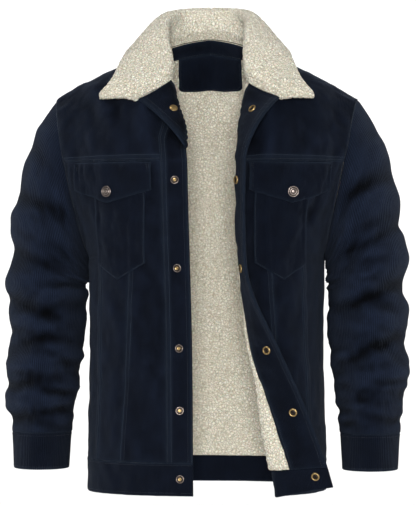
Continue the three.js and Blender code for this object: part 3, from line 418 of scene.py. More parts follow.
def front_flat(u, turn_u, main, edge, outer):
    """The turned-back strip next to the free edge: a cubic from the turn to the edge."""
    safe = np.maximum(turn_u, 1e-6)[:, None]
    t = np.clip(1 - u / safe, 0, 1)[..., None]
    turn = main[:, 0]
    leaving = unit(turn - main[:, 1])
    chord = edge - turn
    reach = np.linalg.norm(chord, axis=-1)[:, None]
    pull = 1.5 * np.minimum(26, 0.3 * reach + 12) * np.clip(turn_u / 12, 0, 1)[:, None]
    arriving = unit(chord + np.array([14.0, 5, 0])) * reach * 0.8
    strip = hermite(turn[:, None], (leaving * pull)[:, None], edge[:, None], arriving[:, None], t)
    return np.where((u >= turn_u[:, None])[..., None], outer, strip)


def front_low(side, u, v):
    """A front up to the yoke: the distance along its section, and beyond the turn the turned-back
    strip."""
    turn_u, main, edge = front_section(side, v)
    tu = turn_u[:, None]
    outer = measured(main, np.maximum(u - tu, 0), FRONT_U - tu, 100, tu)
    return front_flat(u, turn_u, main, edge, outer)


def yoke_point(side, share, v):
    """A front's yoke: each share of its width rises by the dome from the yoke seam to its top line."""
    w = ((v - YOKE_V) / (TOP_V - YOKE_V))[:, None]
    at_yoke = np.full(len(v), YOKE_V)
    base_turn = front_section(side, at_yoke[:1])[0][0]
    low = front_low(side, lerp(base_turn, FRONT_U, share), at_yoke)
    straight = 1 - ease((share - 0.02) / (NECK_SHARE + 0.12))
    return dome(low, front_top(side, share), w, straight, -1.0, share)


def front_high(side, u, v):
    """A front above the yoke seam: the yoke outside the turn, and beyond it the turned-back strip, whose
    edge rises to the corner at the collar by powers of the height."""
    w = (v - YOKE_V) / (TOP_V - YOKE_V)
    base_turn, _, base_edge = front_section(side, np.array([YOKE_V]))
    corner = CORNER[side]
    rise = lerp(np.sin(w * math.pi / 2), w, 0.6)
    top = np.array(corner["edge"], float)
    edge = np.stack([
        lerp(base_edge[0, 0], top[0], rise**1.6),
        lerp(base_edge[0, 1], top[1], rise ** corner["bend"]),
        lerp(base_edge[0, 2], top[2], rise),
    ], axis=-1)
    start = corner["start"]
    turn_u = lerp(base_turn[0], FACING_U, np.clip((rise - start) / (1 - start), 0, 1))
    tu = turn_u[:, None]
    outer = yoke_point(side, np.maximum(u - tu, 0) / (FRONT_U - tu), v)
    main = yoke_point(side, np.broadcast_to(np.array([0.0, 0.03]), (len(v), 2)), v)
    return front_flat(u, turn_u, main, edge, outer)


def front(side, u, v):
    """A front's surface for rows v and a grid u (rows, columns), in its own side's x."""
    u = np.broadcast_to(u, (len(v), u.shape[-1])).astype(float)
    out = np.empty(u.shape + (3,))
    low = v <= YOKE_V
    if low.any():
        out[low] = front_low(side, u[low], v[low])
    if (~low).any():
        out[~low] = front_high(side, u[~low], v[~low])
    return out


def back_half(v, share):
    """The back's surface for rows v and shares of half its width."""
    share = np.broadcast_to(share, (len(v), share.shape[-1])).astype(float)
    out = np.empty(share.shape + (3,))
    low = v <= YOKE_V
    if low.any():
        out[low] = measured(body_section(v[low], True), share[low] * BACK_U, BACK_U, 90)
    if (~low).any():
        s = share[~low]
        at_yoke = np.full((~low).sum(), YOKE_V)
        base = measured(body_section(at_yoke, True), s * BACK_U, BACK_U, 90)
        w = ((v[~low] - YOKE_V) / (TOP_V - YOKE_V))[:, None]
        straight = 1 - ease((s - 0.1) / (BACK_SHARE + 0.05))
        out[~low] = dome(base, back_top(s), w, straight, 1.0, s)
    return out


def sleeve_ring(angle, z):
    """An ellipse round the sleeve's middle line; angle 0 is outermost, a quarter turn is the front."""
    x, y, wide, deep = np.moveaxis(curve(SLEEVE[:, 0], SLEEVE[:, 1:], -z), -1, 0)
    return np.stack([x + wide * np.cos(angle), y - deep * np.sin(angle), z + 0 * angle], axis=-1)


def bare_sleeve(angle, t):
    """t runs from 0 at the armhole to 1 at the bicep ring, by a cubic, and on to 2 at the cuff."""
    start = armhole(np.arccos(np.cos(angle)), np.where(np.sin(angle) < 0, 1.0, -1.0))
    end = sleeve_ring(angle, np.full(angle.shape, BICEP_Z))
    top = (1 + np.cos(angle)) / 2
    leaving = unit(np.stack([0.05 + 0.45 * top, -0.22 * np.sin(angle), -0.62 - 0.38 * (1 - top)], axis=-1))
    reach = np.linalg.norm(end - start, axis=-1, keepdims=True)
    down = np.concatenate([0 * reach, 0 * reach, -reach], axis=-1)
    upper = hermite(start, leaving * reach, end, down, np.clip(t, 0, 1)[..., None])
    lower = sleeve_ring(angle, lerp(BICEP_Z, CUFF_TOP, np.clip(t - 1, 0, 1)))
    return np.where((t > 1)[..., None], lower, upper)


def sleeve(side, angle, t, fine=0.0):
    """The bare sleeve moved out from its middle line by creases: each a ridge or a hollow with a bell
    section across it and along it, and a fainter one behind. fine adds small wrinkles between them."""
    point = bare_sleeve(angle, t)
    around = np.arctan2(np.sin(angle), np.cos(angle))
    moved = np.zeros(angle.shape)
    for z, climb, at, spread, half, rise in CREASES[side]:
        for a, low, r in ((at, z, rise), (-at - 0.5, z - 17, 0.75 * rise)):
            off = np.arctan2(np.sin(around - a), np.cos(around - a))
            across = (point[..., 2] - low - climb * np.cos(around)) / half
            moved += r * np.exp(-(across**2) - (off / spread) ** 2)
    inner = ease((np.cos(around) + 1.05) / 0.9)
    moved = moved * ease(t / 0.35) * ease((2 - t) / 0.08) * inner + fine
    out = unit(point - bare_sleeve(angle + math.pi, t))
    return point + out * moved[..., None]


def collar_line(name, sign, t):
    """The collar's fold or outer edge as a cubic curve through its table, mirrored past the middle of
    the back so that it crosses there without a corner."""
    table = COLLAR[:, 1:4] if name == "fold" else COLLAR[:, 4:7]
    if sign > 0:
        table = table + np.outer(COLLAR_LEFT[name], [1.0, 0, 0])
    first = table[1] * np.array([-1.0, 1, 1])
    return curve(np.concatenate([[-COLLAR[1, 0]], COLLAR[:, 0]]), np.vstack([first, table]), t)


def collar_half(sign, at, q):
    """Half the collar: a cubic from its seam up to the fold, and another down to its outer edge."""
    name = "left" if sign > 0 else "right"
    end = front(name, (FACING_U * (1 - at) / 0.2)[None, :], np.array([TOP_V]))[0]
    seam = np.where((at <= 0.4)[:, None], back_top(at / 0.4 * BACK_SHARE), end)
    middle = (at > 0.4) & (at <= 0.8)
    seam[middle] = front_top(name, (0.8 - at[middle]) / 0.4 * NECK_SHARE)
    fold, edge = collar_line("fold", sign, at), collar_line("edge", sign, at)
    flat = ease((at - 0.55) / 0.3)[:, None]
    over = unit((edge - fold) * np.array([1.0, 1, 0])) * lerp(26.0, 18.0, flat)
    up = np.linalg.norm(fold - seam, axis=-1, keepdims=True) * np.array([0.0, 0, 1])
    rising = lerp(up, fold - seam, flat)
    landing = lerp(over, fold - seam, flat * 0.6)
    t = q[:, None, None]
    inside = hermite(seam, rising, fold, landing, np.minimum(t / 0.35, 1))
    outside = hermite(fold, over * 1.6, edge, edge - fold, np.clip((t - 0.35) / 0.65, 0, 1))
    return np.where(t < 0.35, inside, outside)


def collar(t, q):
    """The collar for rows q and columns t, from its right end (-1) to its left end (1)."""
    left = collar_half(1.0, np.abs(t), q)
    right = collar_half(-1.0, np.abs(t), q) * np.array([-1.0, 1, 1])
    return np.where((t >= 0)[None, :, None], left, right)


# Sampled cloth


def noise(x, y, seed):
    """Smooth noise from -1 to 1: random values on a unit grid, blended by an eased square."""
    table = np.random.default_rng(seed).uniform(-1, 1, (128, 128))
    i, j = np.floor(x).astype(int), np.floor(y).astype(int)
    s, t = ease(x - i), ease(y - j)
    a, b = table[i % 128, j % 128], table[(i + 1) % 128, j % 128]
    c, d = table[i % 128, (j + 1) % 128], table[(i + 1) % 128, (j + 1) % 128]
    return lerp(lerp(a, b, s), lerp(c, d, s), t)


def lumps(x, y, seed):
    """How near each place is to the closest of one random point a unit cell: 1 at the point, 0 away."""
    table = np.random.default_rng(seed).uniform(0.1, 0.9, (128, 128, 2))
    i, j = np.floor(x).astype(int), np.floor(y).astype(int)
    best = np.full(x.shape, 9.0)
    for a in (-1, 0, 1):
        for b in (-1, 0, 1):
            p = table[(i + a) % 128, (j + b) % 128]
            best = np.minimum(best, (i + a + p[..., 0] - x) ** 2 + (j + b + p[..., 1] - y) ** 2)
    return np.clip(1 - best, 0, 1)


def smoothed(field, reach):
    """A grid of points averaged over a box that reaches so many cells to each side; past its border the
    grid goes on as its own reflection through the border."""
    for axis in (0, 1):
        length = field.shape[axis]
        span = min(reach, length - 2)
        pad = [(0, 0)] * field.ndim
        pad[axis] = (span + 1, span)
        total = np.cumsum(np.pad(field, pad, mode="reflect", reflect_type="odd"), axis=axis)
        upper = np.take(total, np.arange(length) + 2 * span + 1, axis=axis)
        field = (upper - np.take(total, np.arange(length), axis=axis)) / (2 * span + 1)
    return field


class Cloth:
    """A surface sampled on a regular grid of columns us and rows vs, and its direction out, which is the
    cross product of its slopes. at() reads both between the grid's corners by bilinear blending, and
    fold() how far the surface stands out of its own average, in millimetres."""

    def __init__(self, us, vs, points, sign):
        self.us, self.vs, self.points, self.sign = us, vs, points, sign
        across = np.gradient(points, axis=1)
        up = np.gradient(points, axis=0)
        self.out = unit(np.cross(across, up)) * sign
        self.stands = np.sum((points - smoothed(points, 11)) * self.out, axis=-1, keepdims=True)

    def raised(self, height):
        """The same cloth with its points moved out by a height at each."""
        return Cloth(self.us, self.vs, self.points + self.out * height[..., None], self.sign)

    def read(self, grids, u, v):
        """Values of grids between their corners: a bilinear blend of the four around each place."""
        x = np.clip((u - self.us[0]) / (self.us[1] - self.us[0]), 0, len(self.us) - 1.0001)
        y = np.clip((v - self.vs[0]) / (self.vs[1] - self.vs[0]), 0, len(self.vs) - 1.0001)
        i, j = x.astype(int), y.astype(int)
        s, t = (x - i)[..., None], (y - j)[..., None]
        return [lerp(lerp(g[j, i], g[j, i + 1], s), lerp(g[j + 1, i], g[j + 1, i + 1], s), t)
                for g in grids]

    def at(self, u, v, out=0.0):
        """Points of the surface moved along its direction out."""
        u, v, out = np.broadcast_arrays(np.asarray(u, float), np.asarray(v, float), np.asarray(out, float))
        place, away = self.read((self.points, self.out), u, v)
        return place + unit(away) * out[..., None]

    def fold(self, u, v):
        """How far the surface stands out of its own average, in millimetres."""
        u, v = np.broadcast_arrays(np.asarray(u, float), np.asarray(v, float))
        return self.read((self.stands,), u, v)[0][..., 0]


def front_relief(side, u, v):
    """Soft folds of a worn front: a slow billow, slanting drags from the armhole, and small rumples."""
    seed = 11 if side == "right" else 23
    calm = ease(u / 30) * ease((FRONT_U - u) / 16) * ease((TOP_V - v) / 20)
    slow = 2.6 * noise(u / 60, v / 85, seed)
    lean = 1 if side == "right" else 0.8
    drag = 2.0 * noise((u - 0.55 * lean * v) / 24, v / 90, seed + 1) * ease((v - 120) / 260)
    rumple = 1.25 * noise(u / 15, v / 24, seed + 2) + 0.6 * noise(u / 7, v / 11, seed + 3)
    return calm * (slow + drag + rumple)


def back_relief(u, v):
    """The back's folds: a slow billow, upright drags above the hem and across the shoulder blades."""
    calm = ease((BACK_U - np.abs(u)) / 16) * ease((TOP_V - v) / 20)
    slow = 2.2 * noise(u / 80 + 9, v / 110, 41)
    drag = 1.5 * noise((np.abs(u) - 0.5 * v) / 28 + 5, v / 100, 42) * ease((v - 100) / 300)
    return calm * (slow + drag + 0.9 * noise(u / 18 + 7, v / 32, 43) + 0.4 * noise(u / 9, v / 15, 44))


def sleeve_relief(side, angle, t):
    """Wrinkles of a sleeve: tight ones across it above the cuff, longer slanting ones higher up."""
    seed = 61 if side == "right" else 71
    run = t * 280
    low = ease((run - 330) / 120)
    wide = np.cos(angle) * 3 + 3
    deep = np.sin(angle) * 3
    tight = 3.6 * noise(wide * 0.55 + deep * 0.3, (run + 9 * np.sin(angle + 1)) / 15, seed)
    slanting = 3.4 * noise(wide * 0.5 + 4, (run - 26 * np.cos(angle) + deep * 5) / 26, seed + 1)
    small = 0.8 * noise(wide * 2.5, run / 11 + deep, seed + 2)
    return (tight * low + slanting * (1 - 0.6 * low) + small) * ease(run / 70) * ease((556 - run) / 22)


SURFACE = {}


def cloth(name):
    """One of the jacket's sampled surfaces, worked out once: front_right, front_left, back, sleeve_right,
    sleeve_left, cuff_right, cuff_left or collar."""
    if name in SURFACE:
        return SURFACE[name]
    kind, _, side = name.partition("_")
    sign = SIDES.get(side, 1.0)
    flip = np.array([sign, 1, 1])
    if kind == "front":
        us, vs = np.linspace(0, FRONT_U, 168), np.linspace(0, TOP_V, 500)
        made = Cloth(us, vs, front(side, us[None, :], vs) * flip, sign)
        made = made.raised(front_relief(side, us[None, :], vs[:, None]))
    elif kind == "back":
        us, vs = np.linspace(-BACK_U, BACK_U, 317), np.linspace(0, TOP_V, 500)
        points = back_half(vs, np.abs(us)[None, :] / BACK_U)
        points[..., 0] *= np.sign(us)[None, :]
        made = Cloth(us, vs, points, -1.0).raised(back_relief(us[None, :], vs[:, None]))
    elif kind == "sleeve":
        us, vs = np.linspace(-0.3, 2 * math.pi + 0.3, 230), np.linspace(0, 2, 330)
        angle, t = np.meshgrid(us, vs)
        made = Cloth(us, vs, sleeve(side, angle, t, sleeve_relief(side, angle, t)) * flip, sign)
    elif kind == "cuff":
        us, vs = np.linspace(-0.3, 2 * math.pi + 0.3, 200), np.linspace(0, 1, 30)
        angle, t = np.meshgrid(us, vs)
        points = sleeve_ring(angle, lerp(CUFF_TOP, CUFF_END, t) - 0.3) * flip
        made = Cloth(us, vs, points, sign)
        ripple = 0.5 * noise(np.cos(angle) * 4 + 9, t * 2 + np.sin(angle) * 3, 81)
        made = made.raised(ripple * np.minimum(1, 4 * (1 - t)))
    else:
        us, vs = np.linspace(-1, 1, 501), np.linspace(0, 1, 101)
        made = Cloth(us, vs, collar(us, vs), 1.0)
    SURFACE[name] = made
    return made


def inner_seam(v):
    """U of the seam between a front's centre and middle panels, straight from the hem band to the yoke."""
    return np.where(v <= YOKE_V, lerp(119, 88, (v - HEM_BAND) / (YOKE_V - HEM_BAND)),
                    lerp(88, NECK_U, (v - YOKE_V) / (TOP_V - YOKE_V)))


def outer_seam(v):
    """U of the seam between a front's middle and side panels."""
    return np.where(v <= YOKE_V, lerp(168, 148, (v - HEM_BAND) / (YOKE_V - HEM_BAND)),
                    lerp(148, 152, (v - YOKE_V) / (TOP_V - YOKE_V)))


def column_u(column, v):
    """U of a numbered column of a front: 3 is the placket's seam, 4 the facing's, 7 the inner seam, 10
    the outer one and 13 the side seam, with equal steps between."""
    column, v = np.broadcast_arrays(np.asarray(column, float), np.asarray(v, float))
    inner, outer = inner_seam(v), outer_seam(v)
    return np.select(
        [column <= 2, column <= 3, column <= 4, column <= 7, column <= 10],
        [14 * column, lerp(28, PLACKET, column - 2), lerp(PLACKET, FACING_U, column - 3),
         lerp(FACING_U, inner, (column - 4) / 3), lerp(inner, outer, (column - 7) / 3)],
        lerp(outer, FRONT_U, (column - 10) / 3),
    )


# Meshes


def make_piece(name, points, faces, material, nodes=(), slot="corduroy", uv=None, masks=None):
    """Puts corners in millimetres and four-sided or three-sided faces into a mesh in metres, smooth, with
    a UV map in metres of cloth and number attributes."""
    points = np.asarray(points, float).reshape(-1, 3)
    mesh = bpy.data.meshes.new(name)
    mesh.vertices.add(len(points))
    mesh.vertices.foreach_set("co", (points / 1000).astype(np.float32).ravel())
    faces = faces if isinstance(faces, list) else [faces]
    sizes = np.concatenate([np.full(len(f), f.shape[1]) for f in faces])
    loops = np.concatenate([f.ravel() for f in faces]).astype(np.int32)
    starts = np.concatenate([[0], np.cumsum(sizes)[:-1]]).astype(np.int32)
    mesh.loops.add(len(loops))
    mesh.loops.foreach_set("vertex_index", loops)
    mesh.polygons.add(len(sizes))
    mesh.polygons.foreach_set("loop_start", starts)
    mesh.update(calc_edges=True)
    mesh.polygons.foreach_set("use_smooth", np.ones(len(sizes), bool))
    if uv is not None:
        layer = mesh.uv_layers.new(name="Cloth")
        flat = np.asarray(uv, float).reshape(-1, 2)[loops]
        layer.data.foreach_set("uv", flat.astype(np.float32).ravel())
    masks = dict(masks or {})
    # corduroy pieces without their own fold mask get 0.5, which leaves the painted shade and highlight of the folds
    # nearly neutral
    if slot == "corduroy":
        masks.setdefault("fold", np.full(len(points), 0.5))
    for key, values in masks.items():
        at = mesh.attributes.new(key, "FLOAT", "POINT")
        at.data.foreach_set("value", np.asarray(values, np.float32).ravel())
    mesh.validate()
    mesh.materials.append(material)
    piece = bpy.data.objects.new(name, mesh)
    bpy.context.scene.collection.objects.link(piece)
    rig.ride(piece, "root")
    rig.slot(piece, slot)
    if nodes:
        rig.replaces(piece, *nodes)
    return piece


def grid_faces(rows, columns, start=0, loop_rows=False, loop_columns=False, turn=False):
    """The four-sided faces of a grid of corners, optionally joined round in either direction."""
    j = np.arange(rows if loop_rows else rows - 1)[:, None]
    i = np.arange(columns if loop_columns else columns - 1)[None, :]
    jn, im = (j + 1) % rows, (i + 1) % columns
    quad = np.stack([j * columns + i, j * columns + im, jn * columns + im, jn * columns + i], axis=-1)
    quad = quad.reshape(-1, 4) + start
    return quad[:, ::-1] if turn else quad


def wall_faces(rows, columns, turn=False):
    """The faces of a closed wall: an outer grid, an inner one after it, and the rim between."""
    size = rows * columns
    sheets = [grid_faces(rows, columns, 0, turn=turn), grid_faces(rows, columns, size, turn=not turn)]
    rim = np.concatenate([
        np.arange(columns), np.arange(1, rows) * columns + columns - 1,
        (rows - 1) * columns + np.arange(columns - 2, -1, -1), np.arange(rows - 2, 0, -1) * columns,
    ])
    after = np.roll(rim, -1)
    side = np.stack([rim + size, after + size, after, rim], axis=-1)
    return np.concatenate(sheets + [side[:, ::-1] if turn else side])


def wall(name, outer, inner, uv, turn, material, nodes, slot="corduroy", **masks):
    """A closed wall between two grids of corners that share their UVs. Each mask is a pair, of what it is
    on the outer grid and on the inner one."""
    shape = outer.shape[:2]
    both = {key: np.concatenate([np.broadcast_to(each, shape).ravel() for each in pair])
            for key, pair in masks.items()}
    return make_piece(name, np.concatenate([outer.reshape(-1, 3), inner.reshape(-1, 3)]),
                      wall_faces(*shape, turn), material, nodes, slot=slot,
                      uv=np.concatenate([uv.reshape(-1, 2)] * 2), masks=both)


def steps(length, step, fine=(0.0, 0.3, 0.9, 1.7, 2.8)):
    """Distances from 0 to a length: close together at both ends, even between."""
    fine = np.array(fine) * min(1.0, length / (6 * fine[-1]))
    count = max(2, int(round((length - 2 * fine[-1]) / step)))
    middle = np.linspace(fine[-1], length - fine[-1], count + 1)
    return np.concatenate([fine[:-1], middle, (length - fine)[::-1][1:]])


def rolled(distance, radius):
    """How far a turned-in edge drops: a quarter circle over the last part of the distance to it."""
    near = 1 - np.clip(distance / radius, 0, 1)
    return -radius * (1 - np.sqrt(np.maximum(0, 1 - near**2)))


def area_under(heights, along_line):
    """The area under a line: each step times the mean of the heights at its two ends."""
    return float(np.sum((heights[1:] + heights[:-1]) / 2 * np.diff(along_line)))


def panel(name, surface, left, right, low, high, material, nodes=(), layer=(0.0, -CLOTH), step=4.2,
          roll=1.4, pucker=0.6, lift=None, seed=1, wale=(1.0, 1.0), gap=0.02, cut_of=None, crease=8.0):
    """A cloth panel: a block of a surface between two seams and two heights, as a closed wall. Its outer
    face drops by a quarter circle at the seams and puckers beside them, and lift adds any further height,
    such as the raised strip of a seam allowance. wale turns U and V into millimetres of cloth, cut_of
    gives the sheet's own size where the seams' lines don't, and crease is how far a fold stands out, in
    millimetres, that takes the fold attribute from 0 to 1."""
    outside = layer[0] > layer[1]
    facing = 1.0 if outside else -1.0
    middle = (low + high) / 2
    width = float(right(np.array([middle]))[0] - left(np.array([middle]))[0])
    across = steps(abs(width) * wale[0], step) / (abs(width) * wale[0])
    up = steps((high - low) * wale[1], step) / ((high - low) * wale[1])
    v = lerp(low, high, up)[:, None]
    a, b = left(v), right(v)
    u = lerp(a + gap / wale[0], b - gap / wale[0], across[None, :])
    v = np.broadcast_to(lerp(low + gap / wale[1], high - gap / wale[1], up)[:, None], u.shape)
    side = np.minimum(u - a, b - u) * wale[0]
    end = np.minimum(v - low, high - v) * wale[1]
    near = np.minimum(side, end)
    drop = rolled(near, roll)
    along_v, along_u = v * wale[1], u * wale[0]
    ripple = (np.exp(-(((side - 6) / 6) ** 2)) * noise(along_v / 5, along_u / 40 + 3, seed)
              + np.exp(-(((end - 6) / 6) ** 2)) * noise(along_u / 5 + 9, along_v / 40, seed + 1))
    height = drop + pucker * ripple * ease(near / 2)
    if lift is not None:
        height = height + lift(u, v)
    outer = surface.at(u, v, layer[0] + facing * height)
    inner = surface.at(u, v, np.full(u.shape, layer[1]))
    uv = np.stack([along_u, along_v], axis=-1) / 1000
    strip = np.clip(lift(u, v) / 0.6, 0, 1) if lift is not None else 0 * u
    wear = np.clip(np.exp(-near / 1.8) + 2.6 * strip * (1 - strip) * (near > 2), 0, 1)
    # painted shade and painted highlight: the fold mask falls in the creases of the surface's folds and puckers, where
    # the corduroy darkens, and rises on their crests, where it lightens
    fold = np.clip(0.5 + (surface.fold(u, v) + 0.8 * pucker * ripple) / crease, 0, 1)
    piece = wall(name, outer, inner, uv, (surface.sign < 0) == outside, material, nodes,
                 wear=(wear, 0.0), fold=(fold, 0.5))
    widths = np.abs(right(v[:, :1]) - left(v[:, :1])) * wale[0]
    length = (high - low) * wale[1]
    full, cut = float(widths.max()), area_under(widths[:, 0], v[:, 0] * wale[1])
    if cut_of is not None:
        full, length, cut = cut_of
    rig.sheet(piece, flat=(full / 1000, length / 1000), held="stretched", area=cut / 1e6)
    return piece


# Finishes


LOOK_SOCKETS = ("Color", "Roughness", "Normal")


class Nodes:
    """A short way to write a node tree: each call adds a node and returns one of its outputs, and values
    given by the inputs' names, or by i and their numbers, are set there or linked to them."""

    def __init__(self, tree):
        self.tree = tree

    def add(self, kind, output=0, settings=None, **inputs):
        """A new node's output of a given number, with its settings and inputs filled in."""
        node = self.tree.nodes.new(kind)
        for key, value in (settings or {}).items():
            setattr(node, key, value)
        for key, value in inputs.items():
            by_number = key[0] == "i" and key[1:].isdigit()
            socket = node.inputs[int(key[1:]) if by_number else key.replace("_", " ")]
            if isinstance(value, bpy.types.NodeSocket):
                self.tree.links.new(value, socket)
            else:
                socket.default_value = value
        return node.outputs[output]

    def math(self, operation, a, b=0.0):
        """One sum of two values."""
        return self.add("ShaderNodeMath", settings={"operation": operation}, i0=a, i1=b)

    def blend(self, share, a, b):
        """The colour a plus a share of the way to b."""
        return self.add("ShaderNodeMix", 2, {"data_type": "RGBA"}, i0=share, i6=a, i7=b)

    def spread(self, value, low, high):
        """A value from 0 to 1 mapped to low to high."""
        return self.add("ShaderNodeMapRange", i0=value, i1=0.0, i2=1.0, i3=low, i4=high)

    def answer(self, out, colour, rough, normal):
        """Links a group's three results to its output node and returns the group."""
        for socket, value in zip(LOOK_SOCKETS, (colour, rough, normal)):
            self.tree.links.new(value, out.inputs[socket])
        return self.tree


def group(name, **sockets):
    """A shader node group with named number or colour inputs that gives a colour, a roughness and a
    normal: its nodes, its input node's sockets by name and its output node."""
    tree = bpy.data.node_groups.new(name, "ShaderNodeTree")
    kinds = {"value": "NodeSocketFloat", "colour": "NodeSocketColor", "vector": "NodeSocketVector"}
    for key, kind in sockets.items():
        tree.interface.new_socket(key, in_out="INPUT", socket_type=kinds[kind])
    for key, kind in zip(LOOK_SOCKETS, ("colour", "value", "vector")):
        tree.interface.new_socket(key, in_out="OUTPUT", socket_type=kinds[kind])
    given = tree.nodes.new("NodeGroupInput").outputs
    return Nodes(tree), given, tree.nodes.new("NodeGroupOutput")


def corduroy_group():
    """Wales: the absolute sine of U over the pitch, raised to a power so that the ridges are round and
    the grooves narrow. The nap is lighter on the ridges, cloudy over the cloth, streaked along the wales,
    darker in the folds and rubbed pale where the wear attribute is high."""
    n, given, out = group("Corduroy", Pitch="value", Depth="value", Groove="colour", Nap="colour",
                          Rubbed="colour")
    uv = n.add("ShaderNodeUVMap", settings={"uv_map": "Cloth"})
    u = n.add("ShaderNodeSeparateXYZ", 0, i0=uv)
    drift = n.add("ShaderNodeTexNoise", 0, Vector=uv, Scale=45.0, Detail=2.0)
    u = n.math("ADD", u, n.math("MULTIPLY", drift, 0.0016))
    wave = n.math("SINE", n.math("MULTIPLY", n.math("DIVIDE", u, given["Pitch"]), math.pi))
    wale = n.math("POWER", n.math("ABSOLUTE", wave), 0.65)
    stretched = n.add("ShaderNodeMapping", i0=uv, i3=(900.0, 90.0, 1.0))
    streak = n.add("ShaderNodeTexNoise", 0, Vector=stretched, Scale=1.0, Detail=3.0)
    cloud = n.add("ShaderNodeTexNoise", 0, Vector=uv, Scale=26.0, Detail=5.0, Roughness=0.62)
    speck = n.add("ShaderNodeTexNoise", 0, Vector=uv, Scale=1300.0, Detail=2.0)
    wear = n.add("ShaderNodeAttribute", 2, {"attribute_name": "wear"})
    nap = n.math("ADD", n.math("MULTIPLY", wale, 0.62), n.math("MULTIPLY", streak, 0.38))
    # painted shade in the grooves between the wales: the colour drops there to the groove colour, darker than the nap
    # on the ridges
    colour = n.blend(nap, given["Groove"], given["Nap"])
    # painted shade and painted highlight: the fold attribute darkens the colour in the creases of folds and puckers
    # and lightens it on their crests
    fold = n.add("ShaderNodeAttribute", 2, {"attribute_name": "fold"})
    shade = n.math("MULTIPLY", n.spread(cloud, 0.3, 1.75), n.math("POWER", n.spread(fold, 0.3, 1.8), 1.5))
    colour = n.add("ShaderNodeVectorMath", settings={"operation": "MULTIPLY"}, i0=colour,
                   i1=n.add("ShaderNodeCombineXYZ", i0=shade, i1=shade, i2=shade))
    rubbed = n.math("MULTIPLY", n.math("MULTIPLY", wear, 0.75), n.spread(streak, 0.2, 1.3))
    colour = n.blend(rubbed, colour, given["Rubbed"])
    height = n.math("ADD", n.math("MULTIPLY", wale, 1.0), n.math("MULTIPLY", speck, 0.35))
    height = n.math("ADD", height, n.math("MULTIPLY", streak, 0.3))
    bump = n.add("ShaderNodeBump", Strength=1.0, Distance=given["Depth"], Height=height)
    return n.answer(out, colour, n.spread(cloud, 0.82, 0.98), bump)


def fleece_group():
    """Curly pile: pale where the curl mask is high and dun between the curls, broken up by small round
    cells, a web of thin dun lines and a slow yellowing; the web and a fine noise also raise it."""
    n, given, out = group("Curly fleece", Deep="colour", Pale="colour", Tip="colour", Relief="value")
    place = n.add("ShaderNodeTexCoord", 3)
    warp = n.add("ShaderNodeTexNoise", 1, Vector=place, Scale=260.0, Detail=2.0)
    bent = n.add("ShaderNodeVectorMath", settings={"operation": "MULTIPLY_ADD"}, i0=warp,
                 i1=(0.004, 0.004, 0.004), i2=place)
    cell = n.add("ShaderNodeTexVoronoi", 0, {"feature": "F1"}, Vector=bent, Scale=330.0)
    web = n.add("ShaderNodeTexVoronoi", 0, {"feature": "DISTANCE_TO_EDGE"}, Vector=bent, Scale=230.0)
    line = n.math("MINIMUM", n.math("MULTIPLY", web, 5.5), 1.0)
    small = n.add("ShaderNodeTexNoise", 0, Vector=bent, Scale=900.0, Detail=3.0)
    slow = n.add("ShaderNodeTexNoise", 0, Vector=place, Scale=22.0, Detail=3.0)
    curl = n.add("ShaderNodeAttribute", 2, {"attribute_name": "curl"})
    round_ = n.math("SUBTRACT", 1.0, cell)
    # painted shade: the mask falls between the curls, at the edges of the round cells and along the web's lines, where
    # the colour goes to the dark colour between the curls
    mask = n.math("ADD", n.math("MULTIPLY", curl, 0.6), n.math("MULTIPLY", round_, 0.85))
    mask = n.math("SUBTRACT", mask, n.spread(small, -0.12, 0.36))
    mask = n.math("MULTIPLY", mask, n.spread(line, 0.62, 1.06))
    colour = n.blend(mask, given["Deep"], given["Pale"])
    tips = n.math("MULTIPLY", n.math("POWER", n.math("MAXIMUM", mask, 0.0), 3.0), n.spread(slow, 0.1, 0.9))
    colour = n.blend(tips, colour, given["Tip"])
    height = n.math("ADD", n.math("MULTIPLY", line, 1.3), n.math("MULTIPLY", small, 0.6))
    bump = n.add("ShaderNodeBump", Strength=1.0, Distance=given["Relief"], Height=height)
    return n.answer(out, colour, n.spread(slow, 0.86, 1.0), bump)


def metal_group():
    """Turned metal: fine scratches, and a tarnish that darkens and dulls it, cloudy and deeper where the
    hollow attribute is high."""
    n, given, out = group("Turned metal", Bright="colour", Tarnish="colour")
    place = n.add("ShaderNodeTexCoord", 3)
    cloud = n.add("ShaderNodeTexNoise", 0, Vector=place, Scale=420.0, Detail=4.0)
    drawn = n.add("ShaderNodeMapping", i0=place, i3=(900.0, 900.0, 5200.0))
    scratch = n.add("ShaderNodeTexNoise", 0, Vector=drawn, Scale=1.0, Detail=2.0)
    low = n.add("ShaderNodeAttribute", 2, {"attribute_name": "hollow"})
    mask = n.math("ADD", n.spread(cloud, -0.35, 0.75), n.math("MULTIPLY", low, 1.0))
    mask = n.math("MINIMUM", n.math("MAXIMUM", mask, 0.0), 1.0)
    colour = n.blend(mask, given["Bright"], given["Tarnish"])
    bump = n.add("ShaderNodeBump", Strength=0.35, Distance=0.0002, Height=scratch)
    rough = n.math("ADD", n.spread(scratch, 0.2, 0.34), n.math("MULTIPLY", mask, 0.22))
    return n.answer(out, colour, rough, bump)


FINISH = {}


def finish(name, made_by, values, **surface):
    """A material made once from a node group, given as its name and its maker, with its own values;
    surface sets the shader's own constants, such as sheen."""
    if name in FINISH:
        return FINISH[name]
    material = bpy.data.materials.new(name)
    material.use_nodes = True
    tree = material.node_tree
    shader = tree.nodes["Principled BSDF"]
    shared = bpy.data.node_groups.get(made_by[0]) or made_by[1]()
    node = tree.nodes.new("ShaderNodeGroup")
    node.node_tree = shared
    for key, value in values.items():
        node.inputs[key].default_value = value
    for key, target in zip(LOOK_SOCKETS, ("Base Color", "Roughness", "Normal")):
        tree.links.new(node.outputs[key], shader.inputs[target])
    for key, value in surface.items():
        shader.inputs[key.replace("_", " ")].default_value = value
    FINISH[name] = material
    return material


def rgba(colour, k=1.0):
    """A colour times k, with full opacity."""
    return (colour[0] * k, colour[1] * k, colour[2] * k, 1.0)


